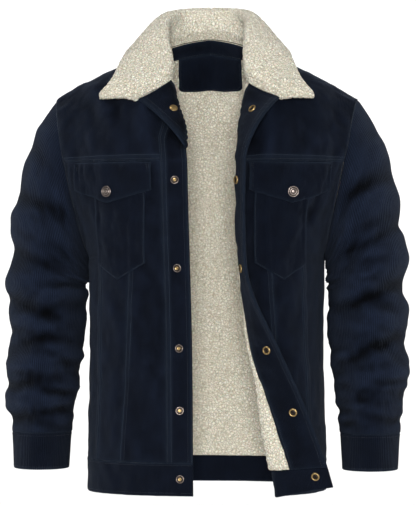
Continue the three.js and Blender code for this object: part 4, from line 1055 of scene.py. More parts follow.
def corduroy(wide=False):
    """The shell's cloth, with fine wales, or with the wider ones of the sleeves and cuffs."""
    look = bpy.context.scene.jacket_look
    # groove is how dark the painted shade in the grooves between the wales is, and nap how light the ridges are, as
    # shares of the navy
    name, pitch, depth, groove, nap = (
        ("Corduroy wide wale", look.wide_wale, 0.0011, 0.3, 1.5) if wide
        else ("Corduroy fine wale", look.fine_wale, 0.0005, 0.6, 1.25)
    )
    return finish(
        name, ("Corduroy", corduroy_group),
        {"Pitch": pitch, "Depth": depth, "Groove": rgba(look.navy, groove),
         "Nap": rgba(look.navy, nap), "Rubbed": rgba(look.rubbed)},
        Sheen_Weight=0.07, Sheen_Roughness=0.35, Sheen_Tint=(0.5, 0.62, 0.85, 1.0),
        Specular_IOR_Level=0.06,
    )


def fleece():
    """The pile of the collar and the lining."""
    cream = bpy.context.scene.jacket_look.cream
    # the dark colour between the curls, the cream times 0.42, 0.38 and 0.3, is painted shade
    return finish(
        "Cream fleece", ("Curly fleece", fleece_group),
        {"Deep": (cream[0] * 0.42, cream[1] * 0.38, cream[2] * 0.3, 1.0), "Pale": rgba(cream),
         "Tip": (0.86, 0.82, 0.7, 1.0), "Relief": 0.0012},
        Sheen_Weight=0.5, Sheen_Roughness=0.6, Sheen_Tint=(1.0, 0.97, 0.88, 1.0),
        Specular_IOR_Level=0.1, Subsurface_Weight=0.12, Subsurface_Scale=0.004,
    )


def metal(kind):
    """Antique nickel for the caps and posts, brass for the stems, rivets and sockets' rings, and a dark
    metal for the sockets' wells."""
    look = bpy.context.scene.jacket_look
    # the near-black colour of the sockets' wells is painted shade in their hollow middles
    bright = {"nickel": look.nickel, "brass": look.brass, "shaded_well": (0.05, 0.04, 0.035)}[kind]
    return finish(
        f"Studs {kind}", ("Turned metal", metal_group),
        {"Bright": rgba(bright), "Tarnish": rgba(bright, 0.2)}, Metallic=1.0,
    )


# The pieces


def fell(distance, width=8.6, height=0.6):
    """The raised strip of a felled seam: a step of a given height up to a given distance from the seam,
    with a shallow groove under each of its two lines of stitching."""
    first, second = SEAM_ROWS
    groove = np.exp(-(((distance - first) / 0.7) ** 2)) + np.exp(-(((distance - second) / 0.8) ** 2))
    return height * ease((width - distance) / 1.6) - 0.35 * groove * (distance >= 0)


PATCH_STEPS = (0.0, 0.3, 0.9, 1.7, 2.5, 4.2)
SIDE_NAMES = ("right", "left")
SEAM_ROWS = (1.9, 7.6)


def edge_at(u):
    """A seam at the same U all the way up."""
    return lambda v: np.full(np.shape(v), float(u))


def make_fronts():
    """Both fronts: placket, centre, middle and side panels, and the yoke above them."""
    cloth_finish = corduroy()
    for k, side in enumerate(SIDE_NAMES):
        surface = cloth(f"front_{side}")
        free, placket, end = edge_at(0), edge_at(PLACKET), edge_at(FRONT_U)
        fold = lambda u, v: 0.4 * rolled(u, 2.4) + fell(PLACKET - u) + 0.7 * fell(u, 8.6, 0.2)
        panel(f"placket_cloth_{side}", surface, free, placket, HEM_BAND, TOP_V, cloth_finish,
              [f"placket_{side}"], lift=fold, seed=3 + k)
        panel(f"front_centre_cloth_{side}", surface, placket, inner_seam, HEM_BAND, YOKE_V, cloth_finish,
              [f"front_centre_{side}"], lift=lambda u, v: fell(inner_seam(v) - u), seed=5 + k)
        panel(f"front_middle_cloth_{side}", surface, inner_seam, outer_seam, HEM_BAND, YOKE_V,
              cloth_finish, [f"front_middle_{side}"], seed=7 + k)
        panel(f"front_side_cloth_{side}", surface, outer_seam, end, HEM_BAND, YOKE_V, cloth_finish,
              [f"front_side_{side}"], seed=9 + k,
              lift=lambda u, v: fell(u - outer_seam(v)) + fell(FRONT_U - u) * (v > ARMPIT_V))
        panel(f"front_yoke_cloth_{side}", surface, placket, end, YOKE_V, TOP_V, cloth_finish,
              [f"front_yoke_{side}"], seed=11 + k,
              lift=lambda u, v: np.maximum(fell(v - YOKE_V), fell(FRONT_U - u)))
        inside = edge_at(FACING_U)
        hemmed = lambda u, v: (0.5 * rolled(u, 2.0) + 0.5 * fell(u, 8.6, 0.3)
                               + 0.4 * fell(FACING_U - u, 5, 0.4))
        panel(f"facing_cloth_{side}", surface, free, inside, HEM_INSIDE, TOP_V - 2.4, cloth_finish,
              [f"facing_{side}"], layer=(-FACING[1], -FACING[0]), seed=13 + k, lift=hemmed)


def back_seam(v, sign):
    """U of a slanting back seam: 113 mm from the middle at the yoke and 88 mm at the hem. At the yoke it
    starts a third of the way from the neck point to where the fronts' outer seams meet the shoulder."""
    third = (outer_seam(TOP_V) - NECK_U) / 3
    t = BACK_SHARE + (1 - BACK_SHARE) * third / (FRONT_U - NECK_U)
    low = 0.42 * np.clip((YOKE_V - v) / YOKE_V, 0, 1)
    return sign * BACK_U * (t - low * t * (1 - t))


def make_back():
    """The back: a centre panel, two side panels and the yoke."""
    surface, cloth_finish = cloth("back"), corduroy()
    right, left = lambda v: back_seam(v, -1), lambda v: back_seam(v, 1)
    panel("back_centre_cloth", surface, right, left, HEM_BAND, YOKE_V, cloth_finish, ["back_centre"],
          lift=lambda u, v: fell(left(v) - np.abs(u)), seed=21)
    for k, side in enumerate(SIDE_NAMES):
        ends = (edge_at(-BACK_U), right) if side == "right" else (left, edge_at(BACK_U))
        panel(f"back_side_cloth_{side}", surface, *ends, HEM_BAND, YOKE_V, cloth_finish,
              [f"back_side_{side}"], seed=22 + k,
              lift=lambda u, v: fell(BACK_U - np.abs(u)) * (v > ARMPIT_V))
    panel("back_yoke_cloth", surface, edge_at(-BACK_U), edge_at(BACK_U), YOKE_V, TOP_V, cloth_finish,
          ["back_yoke"], lift=lambda u, v: np.maximum(fell(v - YOKE_V), fell(BACK_U - np.abs(u))), seed=25)


def round_patch(name, surface, place, size, nodes, thick, lift, swell, extra=None, inside=False,
                radius=0.0, seed=1):
    """A patch on a surface: place turns two shares into U and V, its edges roll down by a quarter circle
    onto what is under it, and its middle swells by a half wave of a given height. radius rounds its
    lower corners by drawing the shares in towards a circle there."""
    width, length = size
    a = steps(width, 2.2, PATCH_STEPS) / width
    b = steps(length, 2.2, PATCH_STEPS) / length
    a, b = np.meshgrid(a, b)
    near = np.minimum(np.minimum(a, 1 - a) * width, np.minimum(b, 1 - b) * length)
    if radius:
        x = np.maximum(radius - np.minimum(a, 1 - a) * width, 0)
        y = np.maximum(radius - b * length, 0)
        k = np.where((x > 0) & (y > 0), np.maximum(x, y) / np.maximum(np.hypot(x, y), 1e-6), 1.0)
        drawn = (radius - x * k) / width
        a = np.where(a < 0.5, drawn, 1 - drawn) * (x > 0) + a * (x == 0)
        b = np.where(y > 0, (radius - y * k) / length, b)
    u, v = place(a, b)
    sign = -1.0 if inside else 1.0
    puff = swell * np.sin(math.pi * a) * np.sin(math.pi * b) ** 0.7
    ripple = 0.3 * noise(u / 6, v / 9, seed) * np.exp(-(((near - 5) / 7) ** 2))
    height = thick + rolled(near, 1.1) + puff + ripple * ease(near / 2)
    if extra is not None:
        height = height + extra(u, v, near)
    base = lift(v)
    outer = surface.at(u, v, sign * (base + height))
    under = surface.at(u, v, sign * base)
    piece = wall(name, outer, under, np.stack([u, v], axis=-1) / 1000, (surface.sign < 0) != inside,
                 corduroy(), nodes, wear=(np.exp(-near / 2.0), 0.0))
    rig.sheet(piece, flat=(width / 1000, length / 1000), held="stretched",
             area=0.9 * width * length / 1e6)


POCKET = {"columns": (5.37, 10.23), "middle": 8.0, "point": 334.0, "corner": 360.0, "top": 502.0}
FLAP = {"columns": (4.56, 11.62), "middle": 8.9, "point": 454.0, "corner": 474.0, "top": 516.0}


def patch_place(shape):
    """Turns shares across and up a pointed patch into U and V: its lower edge is two straight lines that
    meet at the point."""
    low, high = (float(column_u(c, shape["corner"])) for c in shape["columns"])
    middle = float(column_u(shape["middle"], shape["corner"]))
    reach = max(middle - low, high - middle)

    def bottom(a):
        """V of the pointed lower edge."""
        return lerp(shape["point"], shape["corner"], np.abs(lerp(low, high, a) - middle) / reach)

    def place(a, b):
        v = lerp(bottom(a), shape["top"], b)
        return lerp(column_u(shape["columns"][0], v), column_u(shape["columns"][1], v), a), v

    return place, (high - low, shape["top"] - (shape["point"] + shape["corner"]) / 2)


def flap_lift(v):
    """How far a flap lies off the front: 0.8 mm at its seam and 3.2 mm over the pocket."""
    return 0.8 + 2.4 * ease((FLAP["top"] - v) / 12)


def make_pockets():
    """The pointed chest pockets, with the ridges of the panel seams under them, and their flaps."""

    def seams_under(u, v, near):
        """A low ridge along each panel seam with a groove at the seam itself."""
        lines = 0.0
        for seam, turn in ((inner_seam(v), 1.0), (outer_seam(v), -1.0)):
            d = (u - seam) * turn
            ridge = 0.8 * ease((d + 9) / 2) * ease((1.2 - d) / 2)
            lines = lines + ridge - 0.5 * np.exp(-((d / 0.9) ** 2))
        return lines * ease(near / 4)

    for k, side in enumerate(SIDE_NAMES):
        surface = cloth(f"front_{side}")
        place, size = patch_place(POCKET)
        round_patch(f"pocket_cloth_{side}", surface, place, size, [f"pocket_{side}"], 1.6,
                    lambda v: 0.5 + 0 * v, 1.6, extra=seams_under, seed=31 + k)
        place, size = patch_place(FLAP)
        round_patch(f"flap_cloth_{side}", surface, place, size, [f"flap_{side}"], 2.4,
                    lambda v: flap_lift(v) + 0.4, 1.0, seed=33 + k,
                    extra=lambda u, v, near: 0.45 * ease((7 - near) / 1.5) * ease(near / 1.5))


def make_band():
    """The hem band: a closed section carried along the hem from one free edge round the back to the
    other. Its outline goes up the outside, rolls over at the top, and comes down behind."""
    r = BAND_WALL / 2
    bend = np.linspace(-math.pi / 2, math.pi / 2, 7)[1:-1]
    up = np.concatenate([np.linspace(r, 44, 12), [46, 47.4, 48.6, 49.6, 50.3, 50.7, 50.85]])
    drop = np.concatenate([np.zeros(12), 0.25 * np.ones(5), [-0.5, -1.3]])
    inner_v = np.array([50.85, HEM_INSIDE - 0.3, HEM_INSIDE - 0.3, 40, 36, 28, 20, 12, 6, r])
    inner_off = np.array([-CLOTH, -CLOTH, -BAND_WALL + 0.9] + [-BAND_WALL] * 7)
    under_v = r - r * np.cos(bend)
    under_off = -r + r * np.sin(bend)
    profile_v = np.concatenate([up, inner_v, under_v])
    profile_off = np.concatenate([drop, inner_off, under_off])
    parts = []
    for name, us, first in (("front_right", np.linspace(0, FRONT_U, 90), 0.0),
                            ("back", np.linspace(-BACK_U, BACK_U, 170), FRONT_U),
                            ("front_left", np.linspace(FRONT_U, 0, 90), FRONT_U + 2 * BACK_U)):
        surface = cloth(name)
        along_u = first + np.abs(us - us[0])
        v = np.broadcast_to(profile_v[:, None], (len(profile_v), len(us)))
        u = np.broadcast_to(us[None, :], v.shape)
        outside = (profile_off > -CLOTH)[:, None] & (v > 3) & (v < 49)
        run = along_u[None, :]
        ripple = 0.45 * noise(run / 7, v / 26 + 2, 91) + 0.5 * noise(run / 19, v / 40, 92)
        off = profile_off[:, None] + ripple * outside
        points = surface.at(u, v, off)
        keep = slice(0, None) if name == "front_right" else slice(1, None)
        parts.append((points[:, keep], along_u[keep]))
    points = np.concatenate([p for p, _ in parts], axis=1)
    run = np.concatenate([a for _, a in parts])
    rows, columns = points.shape[:2]
    ends = points[:, [0, -1]].mean(axis=0)
    faces = grid_faces(rows, columns, loop_rows=True, turn=True)
    ring = np.arange(rows) * columns
    after = np.roll(ring, -1)
    size = rows * columns
    caps = np.concatenate([
        np.stack([after, ring, np.full(rows, size)], axis=-1),
        np.stack([ring + columns - 1, after + columns - 1, np.full(rows, size + 1)], axis=-1),
    ])
    uv = np.stack(np.broadcast_arrays(run[None, :], profile_v[:, None]), axis=-1).reshape(-1, 2) / 1000
    wear = np.repeat(np.where((profile_v > 49.5) | (profile_v < 2.2), 0.8, 0.0), columns)
    piece = make_piece("hem_band_cloth", np.concatenate([points.reshape(-1, 3), ends]), [faces, caps],
                       corduroy(), ["hem_band"], uv=np.concatenate([uv, uv[:1], uv[-1:]]),
                       masks={"wear": np.concatenate([wear, [0, 0]])})
    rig.sheet(piece, flat=(float(run[-1]) / 1000, HEM_BAND / 1000), held="stretched")


# Millimetres of cloth to a radian round the sleeve and to a step of t down it, and to a radian of cuff
SLEEVE_U = 62.0
SLEEVE_V = 280.0
CUFF_U = 46.0
BACK_SEAM_ANGLE = 4.906
UNDER_SLEEVE = (125.0, 430.0)


def make_sleeves():
    """Each sleeve in its two parts, which meet under the arm and down the back, and its cuff."""
    wide = corduroy(True)
    for k, side in enumerate(SIDE_NAMES):
        surface = cloth(f"sleeve_{side}")
        # angles fall from the underarm over the front, so the top sleeve runs from the back seam's angle
        # less a full turn to the underarm
        turn = 2 * math.pi
        full = np.linspace(BACK_SEAM_ANGLE - turn, math.pi, 200)
        grid = surface.at(np.mod(full, turn)[None, :], surface.vs[:, None])
        over = Cloth(full, surface.vs, grid, surface.sign)
        scale = (SLEEVE_U, SLEEVE_V)
        panel(f"sleeve_cloth_{side}", over, edge_at(full[0]), edge_at(math.pi), 0.0, 2.0, wide,
              [f"sleeve_{side}"], step=3.9, wale=scale, seed=41 + k, pucker=0.45, crease=3.8,
              lift=lambda u, v: fell((u - full[0]) * SLEEVE_U) - 1.2 * np.exp(-v * SLEEVE_V / 2.5))
        panel(f"under_sleeve_cloth_{side}", surface, edge_at(math.pi), edge_at(BACK_SEAM_ANGLE), 0.0, 2.0,
              wide, [f"under_sleeve_{side}"], step=4.0, wale=scale, seed=43 + k, crease=3.8,
              cut_of=(*UNDER_SLEEVE, 0.85 * UNDER_SLEEVE[0] * UNDER_SLEEVE[1]))
        cuff = cloth(f"cuff_{side}")
        r = CUFF_WALL / 2
        length = CUFF_TOP - CUFF_END
        down = np.concatenate([[0.1, 0.35, 0.8, 1.5, 2.4, 4, 5.5], np.linspace(8, length - 8, 14),
                               [length - 6, length - 4.5, length - r]])
        out_off = np.concatenate([[-1.2, -0.7, -0.3, -0.05, 0.0, 0.1, -0.15], np.zeros(14), [0.1, -0.2, 0]])
        bend = np.linspace(math.pi / 2, -math.pi / 2, 7)[1:-1]
        below_v, below_off = length - r + r * np.cos(bend), -r + r * np.sin(bend)
        up_v = np.array([length - r, length - 8, 40, 30, 20, 10, 3, 0.1])
        profile_v = np.concatenate([down, below_v, up_v])
        profile_off = np.concatenate([out_off, below_off, np.full(8, -CUFF_WALL)])
        angle = np.linspace(0, turn, 181)[:-1]
        v = np.broadcast_to(profile_v[:, None], (len(profile_v), len(angle)))
        outside = (profile_off > -2)[:, None]
        pucker = 0.35 * noise(angle[None, :] * CUFF_U / 5, v / 30, 45 + k) * np.exp(-v / 12) * outside
        points = cuff.at(np.broadcast_to(angle, v.shape), v / length, profile_off[:, None] + pucker)
        rows, columns = v.shape
        faces = grid_faces(rows, columns, loop_rows=True, loop_columns=True, turn=side == "left")
        uv = np.stack(np.broadcast_arrays(angle[None, :] * CUFF_U, profile_v[:, None]), axis=-1) / 1000
        wear = np.where((profile_v > length - 3) | (profile_v < 1), 0.8, 0.0)
        piece = make_piece(f"cuff_cloth_{side}", points, faces, wide, [f"cuff_{side}"], uv=uv,
                           masks={"wear": np.repeat(wear, columns)})
        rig.sheet(piece, flat=(0.288, length / 1000), held="stretched")


def curls(x, y, seed):
    """The pile's height from 0 to 1: rounded clumps of about 7 mm, each broken into curls of 3 mm, on a
    grid bent by noise so that no rows show."""
    bx = x + 2.2 * noise(x / 9, y / 9, seed)
    by = y + 2.2 * noise(x / 9 + 7, y / 9 + 3, seed + 1)
    clump = lumps(bx / 7.5, by / 7.5, seed + 2)
    curl = lumps(bx / 3.6, by / 3.6, seed + 3)
    return np.clip(0.5 * clump + 0.6 * curl, 0, 1)


def pile(name, surface, left, right, low, high, nodes, step=2.45, seed=1):
    """A lining: a sheet of curly pile on the inner side of a surface, pressed thin at its seams. Its height
    is that of the curls times a quarter circle over the last 5 mm to an edge."""
    middle = (low + high) / 2
    width = float(right(np.array([middle]))[0] - left(np.array([middle]))[0])
    across, up = steps(width, step) / width, steps(high - low, step) / (high - low)
    v = lerp(low, high, up)[:, None]
    a, b = left(v), right(v)
    u = lerp(a + 0.3, b - 0.3, across[None, :])
    v = np.broadcast_to(v, u.shape)
    near = np.minimum(np.minimum(u - a, b - u), np.minimum(v - low, high - v))
    curl = curls(u, v, seed)
    rounded = np.sqrt(np.maximum(0, 1 - (1 - np.clip(near / 5, 0, 1)) ** 2))
    height = (FLEECE[1] - FLEECE[0]) * rounded * (0.42 + 0.62 * curl)
    points = surface.at(u, v, -(FLEECE[0] + height))
    rows, columns = u.shape
    uv = np.stack([u, v], axis=-1).reshape(-1, 2) / 1000
    # painted shade: the curl mask, which darkens the pile between its curls, also drops towards 0.15 where the pile is
    # pressed thin at the seams
    piece = make_piece(name, points, grid_faces(rows, columns, turn=surface.sign > 0), fleece(), nodes,
                       slot="fleece", uv=uv, masks={"curl": curl * rounded + 0.15 * (1 - rounded)})
    widths = np.abs(right(v[:, :1]) - left(v[:, :1]))[:, 0]
    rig.sheet(piece, flat=(float(widths.max()) / 1000, (high - low) / 1000), held="stretched",
             area=area_under(widths, v[:, 0]) / 1e6)


# The cloth inside the neck: how far it lies within the back's surface, and half its width, low and high V
NECK_LIFT = FLEECE[1] + 0.6
NECK_STRIP = (85.8, 722.0, TOP_V)
NECK_PATCH = (52.1, 658.0, 721.9)


def neck_place(half, low, high):
    """Turns two shares into U and V of a rectangle in the middle of the back's neck."""
    return lambda a, b: (lerp(-half, half, a), lerp(low, high, b))


def make_linings():
    """The fleece inside the back and both fronts, and the plain strip and patch inside the neck."""
    for k, side in enumerate(SIDE_NAMES):
        pile(f"lining_pile_{side}", cloth(f"front_{side}"), edge_at(FACING_U), edge_at(FRONT_U), HEM_INSIDE,
             TOP_V - 1, [f"lining_front_{side}"], seed=101 + 10 * k)
    back = cloth("back")
    pile("lining_pile_back", back, edge_at(-BACK_U), edge_at(BACK_U), HEM_INSIDE, TOP_V - 0.5,
         ["lining_back"], step=2.8, seed=131)
    lift = lambda v: NECK_LIFT + 0 * v
    round_patch("neck_strip_cloth", back, neck_place(*NECK_STRIP), (171.6, 27), ["neck_facing"], 1.8, lift,
                0.6, inside=True, seed=51)
    round_patch("neck_patch_cloth", back, neck_place(*NECK_PATCH), (104.2, 63), ["neck_patch"], 1.6, lift,
                1.2, inside=True, radius=7.0, seed=53)


# The collar in millimetres: half its length at the fold, half its cloth's length, and its depth
COLLAR_HALF = 240
COLLAR_CLOTH = 330
COLLAR_DEPTH = 125


def rounded_corners(t, q, radius=17.0):
    """Draws the collar's two outer corners in from a square to a circle."""
    x = np.maximum(radius - (1 - np.abs(t)) * COLLAR_HALF, 0)
    y = np.maximum(radius - (1 - q) * COLLAR_DEPTH, 0)
    both = (x > 0) & (y > 0)
    k = np.where(both, np.maximum(x, y) / np.maximum(np.hypot(x, y), 1e-6), 1.0)
    t = np.where(both, np.sign(t) * (1 - (radius - x * k) / COLLAR_HALF), t)
    q = np.where(both, 1 - (radius - y * k) / COLLAR_DEPTH, q)
    return t, q


def edge_distance(t, q):
    """How far a place on the collar is from its ends or its outer edge, whichever is nearer."""
    return np.minimum((1 - np.abs(t)) * COLLAR_HALF, (1 - q) * COLLAR_DEPTH)


def collar_piece(name, t, q, outer, inner, turn, material, node, slot, **masks):
    """A closed wall between two grids of the collar, declared as a folded sheet."""
    uv = np.stack([t * COLLAR_CLOTH, q * COLLAR_DEPTH], axis=-1) / 1000
    piece = wall(name, outer, inner, uv, turn, material, [node], slot, **masks)
    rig.sheet(piece, flat=(0.80, 0.125), held="folded", area=0.082)


def make_collar():
    """The collar's fleece, which rolls round its ends and outer edge, and the cloth beneath it."""
    surface = cloth("collar")
    columns, rows = 420, 86
    t = np.sin(np.linspace(-1, 1, columns) * 1.35) / math.sin(1.35)
    q = np.concatenate([[0, 0.008, 0.02, 0.035], np.linspace(0.05, 0.93, rows - 12),
                        [0.945, 0.958, 0.97, 0.979, 0.986, 0.992, 0.997, 1]])
    t, q = np.meshgrid(t, q)
    edge = edge_distance(t, q)
    ct, cq = rounded_corners(t, q)
    curl = curls(t * COLLAR_CLOTH, q * COLLAR_DEPTH, 151)
    rim = np.sqrt(np.maximum(0, 1 - (1 - np.clip(edge / 9, 0, 1)) ** 2))
    seam = 0.2 + 0.8 * ease(q * COLLAR_DEPTH / 12)
    height = 0.3 + (4.2 + 5.6 * curl) * rim * seam
    outer = surface.at(ct, cq, height)
    # the rim swells past the collar's own edge, so that the pile hides the cloth behind it
    past = surface.at(ct * 0.97, cq * 0.97, 0.0)
    push = unit(surface.at(ct, cq, 0.0) - past)
    swell = (0.4 + 6.0 * curl**1.3) * np.exp(-((edge - 1.5) / 3.2) ** 2)
    outer = outer + push * swell[..., None]
    inner = surface.at(ct, cq, 0.25)
    # the curl mask paints shade between the collar's curls
    collar_piece("collar_pile", t, q, outer, inner, False, fleece(), "collar", "fleece",
                 curl=(curl, 0.0))
    t, q = np.meshgrid(np.linspace(-1, 1, 240), np.linspace(0, 1, 34))
    near = edge_distance(t, q)
    t, q = rounded_corners(t, q)
    outer = surface.at(t, q, -2.2 - rolled(near, 2.0) + 0.2 * noise(t * 60, q * 14, 161))
    inner = surface.at(t, q, -0.05)
    wear = np.exp(-near / 3)
    collar_piece("under_collar_cloth", t, q, outer, inner, True, corduroy(), "under_collar", "corduroy",
                 wear=(wear, wear))


def lathe(foot, away, profile, sides=36):
    """A turned piece: a profile of radius and height pairs carried round an axis that starts at its foot.
    The hollow mask is high where the profile dips below its neighbours."""
    profile = np.array(profile, float)
    side = unit(np.cross(away, [0.1, 0.2, 1.0]))
    other = np.cross(away, side)
    angle = np.linspace(0, 2 * math.pi, sides, endpoint=False)
    r, h = profile[:, 0][:, None, None], profile[:, 1][:, None, None]
    ring = np.cos(angle)[None, :, None] * side + np.sin(angle)[None, :, None] * other
    points = (foot + r * ring + h * away).reshape(-1, 3)
    rows = len(profile)
    faces = grid_faces(rows, sides, loop_columns=True)
    size = rows * sides
    ends = np.array([foot + profile[0, 1] * away, foot + profile[-1, 1] * away])
    ring0, after0 = np.arange(sides), np.roll(np.arange(sides), -1)
    last = (rows - 1) * sides
    caps = np.concatenate([
        np.stack([after0, ring0, np.full(sides, size)], axis=-1),
        np.stack([ring0 + last, after0 + last, np.full(sides, size + 1)], axis=-1),
    ])
    hollow = np.clip((np.maximum.accumulate(profile[:, 1]) - profile[:, 1]) / 0.7, 0, 1)
    hollow = np.concatenate([np.repeat(hollow, sides), [1, hollow[-1]]])
    return np.concatenate([points, ends]), [faces, caps], hollow


def arc(points, count=3):
    """A profile with its corners rounded by a quadratic, which starts and stops 0.3 mm from each corner or
    at 0.45 of the side, whichever is nearer."""
    points = np.array(points, float)
    out = [points[0]]
    t = np.linspace(0, 1, count)[:, None]
    for a, b, c in zip(points[:-2], points[1:-1], points[2:]):
        start, stop = (lerp(b, end, min(0.45, 0.3 / max(np.linalg.norm(end - b), 0.3))) for end in (a, c))
        out.extend((1 - t) ** 2 * start + 2 * t * (1 - t) * b + t**2 * stop)
    out.append(points[-1])
    return np.array(out)


CAP = [(8.4, 0), (8.7, 0.4), (8.6, 1.1), (7.9, 1.7), (7.1, 1.6), (6.6, 0.9), (6.1, 0.9), (5.6, 1.9),
       (4.4, 2.3), (3.7, 1.6), (3.2, 1.6), (2.6, 2.5), (0.6, 2.7)]
SMALL_CAP = [(6.2, 0), (6.4, 0.4), (6.3, 0.9), (5.5, 1.3), (4.9, 1.15), (4.5, 1.5), (3.0, 2.0), (0.5, 2.2)]
SOCKET = [(6.5, 0), (6.7, 0.5), (6.6, 1.3), (5.9, 2.1), (5.2, 2.3), (4.4, 2.1), (3.9, 1.5), (3.5, 0.9),
          (0.6, 0.8)]
POST = [(6.3, 0), (6.5, 0.4), (6.4, 1.2), (5.8, 1.7), (5.2, 1.6), (4.6, 0.9), (4.2, 0.45), (3.0, 0.4),
        (0.5, 0.4)]
STEM = [(2.9, 0.42), (2.95, 1.2), (2.6, 1.9), (2.75, 3.1), (2.3, 3.6), (1.5, 3.3), (0.5, 3.2)]
WELL = [(3.7, 0.85), (3.6, 1.0), (2.6, 1.05), (2.3, 1.5), (1.6, 1.55), (1.3, 1.1), (0.4, 1.05)]
CAP_V = 471.0


def stud_piece(name, node, surface, u, v, offset, profile, kind, slot):
    """One stud part, standing off the cloth along its direction out, or in where the offset is
    negative."""
    foot = surface.at(u, v, offset)
    away = unit(surface.at(u, v, offset + np.sign(offset)) - foot)
    points, faces, hollow = lathe(foot, away, arc(profile))
    make_piece(name, points, faces, metal(kind), [node] if node else (), slot=slot,
               masks={"hollow": hollow})


def make_studs():
    """Posts with their stems on the right front and rivets behind them, sockets with a dark well inside the
    left front and small caps outside it, and the caps of the pocket flaps."""
    right, left = cloth("front_right"), cloth("front_left")
    for i, v in enumerate(STUD_V):
        stud_piece(f"post_metal_{i}", f"post_{i}", right, STUD_U, v, 0.3, POST, "nickel", "nickel")
        stud_piece(f"post_stem_{i}", None, right, STUD_U, v, 0.3, STEM, "brass", "brass")
        behind = (-BAND_WALL if v < HEM_INSIDE else -FACING[1]) - 0.2
        stud_piece(f"rivet_metal_{i}", None, right, STUD_U, v, behind, SMALL_CAP, "brass", "brass")
        stud_piece(f"socket_metal_{i}", f"socket_{i}", left, STUD_U, v, behind, SOCKET, "brass", "brass")
        # painted shade: a near-black disc inside each socket's hollow middle
        stud_piece(f"socket_well_{i}", None, left, STUD_U, v, behind, WELL, "shaded_well", "brass")
        stud_piece(f"cap_metal_{i}", f"cap_{i}", left, STUD_U, v, 0.3, SMALL_CAP, "nickel", "nickel")
    u = float(column_u(FLAP["middle"], CAP_V))
    out = float(flap_lift(CAP_V)) + 3.4
    for side in SIDE_NAMES:
        stud_piece(f"cap_pocket_metal_{side}", f"cap_pocket_{side}", cloth(f"front_{side}"), u, CAP_V, out,
                   CAP, "nickel", "nickel")


def stitch_run(surface, u, v, offset, pitch=3.1, length=2.3, width=0.42):
    """Corners and faces of a row of stitches along a line on a surface: each is a spindle of six corners,
    two at its ends and four round its middle, laid every pitch along the line's true length."""
    t = np.linspace(0, 1, 400)
    at = np.linspace(0, 1, len(np.atleast_1d(u)))
    line_u, line_v = np.interp(t, at, u), np.interp(t, at, v)
    line = surface.at(line_u, line_v, offset)
    far = np.concatenate([[0], np.cumsum(np.linalg.norm(np.diff(line, axis=0), axis=1))])
    count = max(1, int((far[-1] - length) / pitch))
    start = (np.arange(count) + 0.2) * pitch

    def at_distance(s, lift=0.0):
        return surface.at(np.interp(s, far, line_u), np.interp(s, far, line_v), offset + lift)

    a, b = at_distance(start), at_distance(start + length)
    middle = at_distance(start + length / 2, np.sign(offset or 1) * 0.16)
    out = unit(at_distance(start + length / 2, np.sign(offset or 1)) - middle)
    side = unit(np.cross(b - a, out))
    points = np.stack([a, middle + side * width / 2, middle + out * width / 2, middle - side * width / 2,
                       middle - out * width / 2, b], axis=1)
    shape = np.array([[0, 2, 1], [0, 3, 2], [0, 4, 3], [0, 1, 4],
                      [5, 1, 2], [5, 2, 3], [5, 3, 4], [5, 4, 1]])
    faces = (shape[None] + 6 * np.arange(count)[:, None, None]).reshape(-1, 3)
    return points.reshape(-1, 3), faces


def sewn(name, runs):
    """One piece of stitching made of many runs, each (surface, U, V, offset)."""
    points, faces, start = [], [], 0
    for run in runs:
        p, f = stitch_run(*run)
        points.append(p)
        faces.append(f + start)
        start += len(p)
    make_piece(name, np.concatenate(points), np.concatenate(faces), thread())


def thread_group():
    """Thread: two plies that cross the stitch, as a fine slanting wave, over a slight change of shade."""
    n, given, out = group("Sewing thread", Shade="colour")
    place = n.add("ShaderNodeTexCoord", 3)
    wave = n.add("ShaderNodeTexWave", 1, {"bands_direction": "DIAGONAL"}, Vector=place, Scale=900.0)
    cloud = n.add("ShaderNodeTexNoise", 0, Vector=place, Scale=160.0, Detail=2.0)
    dark = n.blend(0.55, given["Shade"], (0.0, 0.0, 0.0, 1.0))
    colour = n.blend(n.spread(cloud, 0.5, 1.1), dark, given["Shade"])
    bump = n.add("ShaderNodeBump", Strength=0.6, Distance=0.0002, Height=wave)
    return n.answer(out, colour, n.spread(cloud, 0.6, 0.8), bump)


def thread():
    """The sewing thread."""
    shade = rgba(bpy.context.scene.jacket_look.thread)
    return finish("Navy thread", ("Sewing thread", thread_group), {"Shade": shade}, Sheen_Weight=0.2)


def patch_row(surface, shape, inset, count, top, offset):
    """A row of stitches down one side of a pointed patch, along its lower edge and up the other side."""
    place, (width, length) = patch_place(shape)
    near, low = inset / width, inset / length
    a = np.concatenate([np.full(count, near), np.linspace(near, 1 - near, 40), np.full(count, 1 - near)])
    b = np.concatenate([np.linspace(top, low, count), np.full(40, low), np.linspace(low, top, count)])
    return (surface, *place(a, b), offset)


def band_rows(surface, first, last):
    """The two rows of stitches along the hem band, near its top and near its lower edge."""
    u = np.array([first, last])
    return [(surface, u, np.array([47.6] * 2), 0.42), (surface, u, np.array([5.0] * 2), 0.1)]


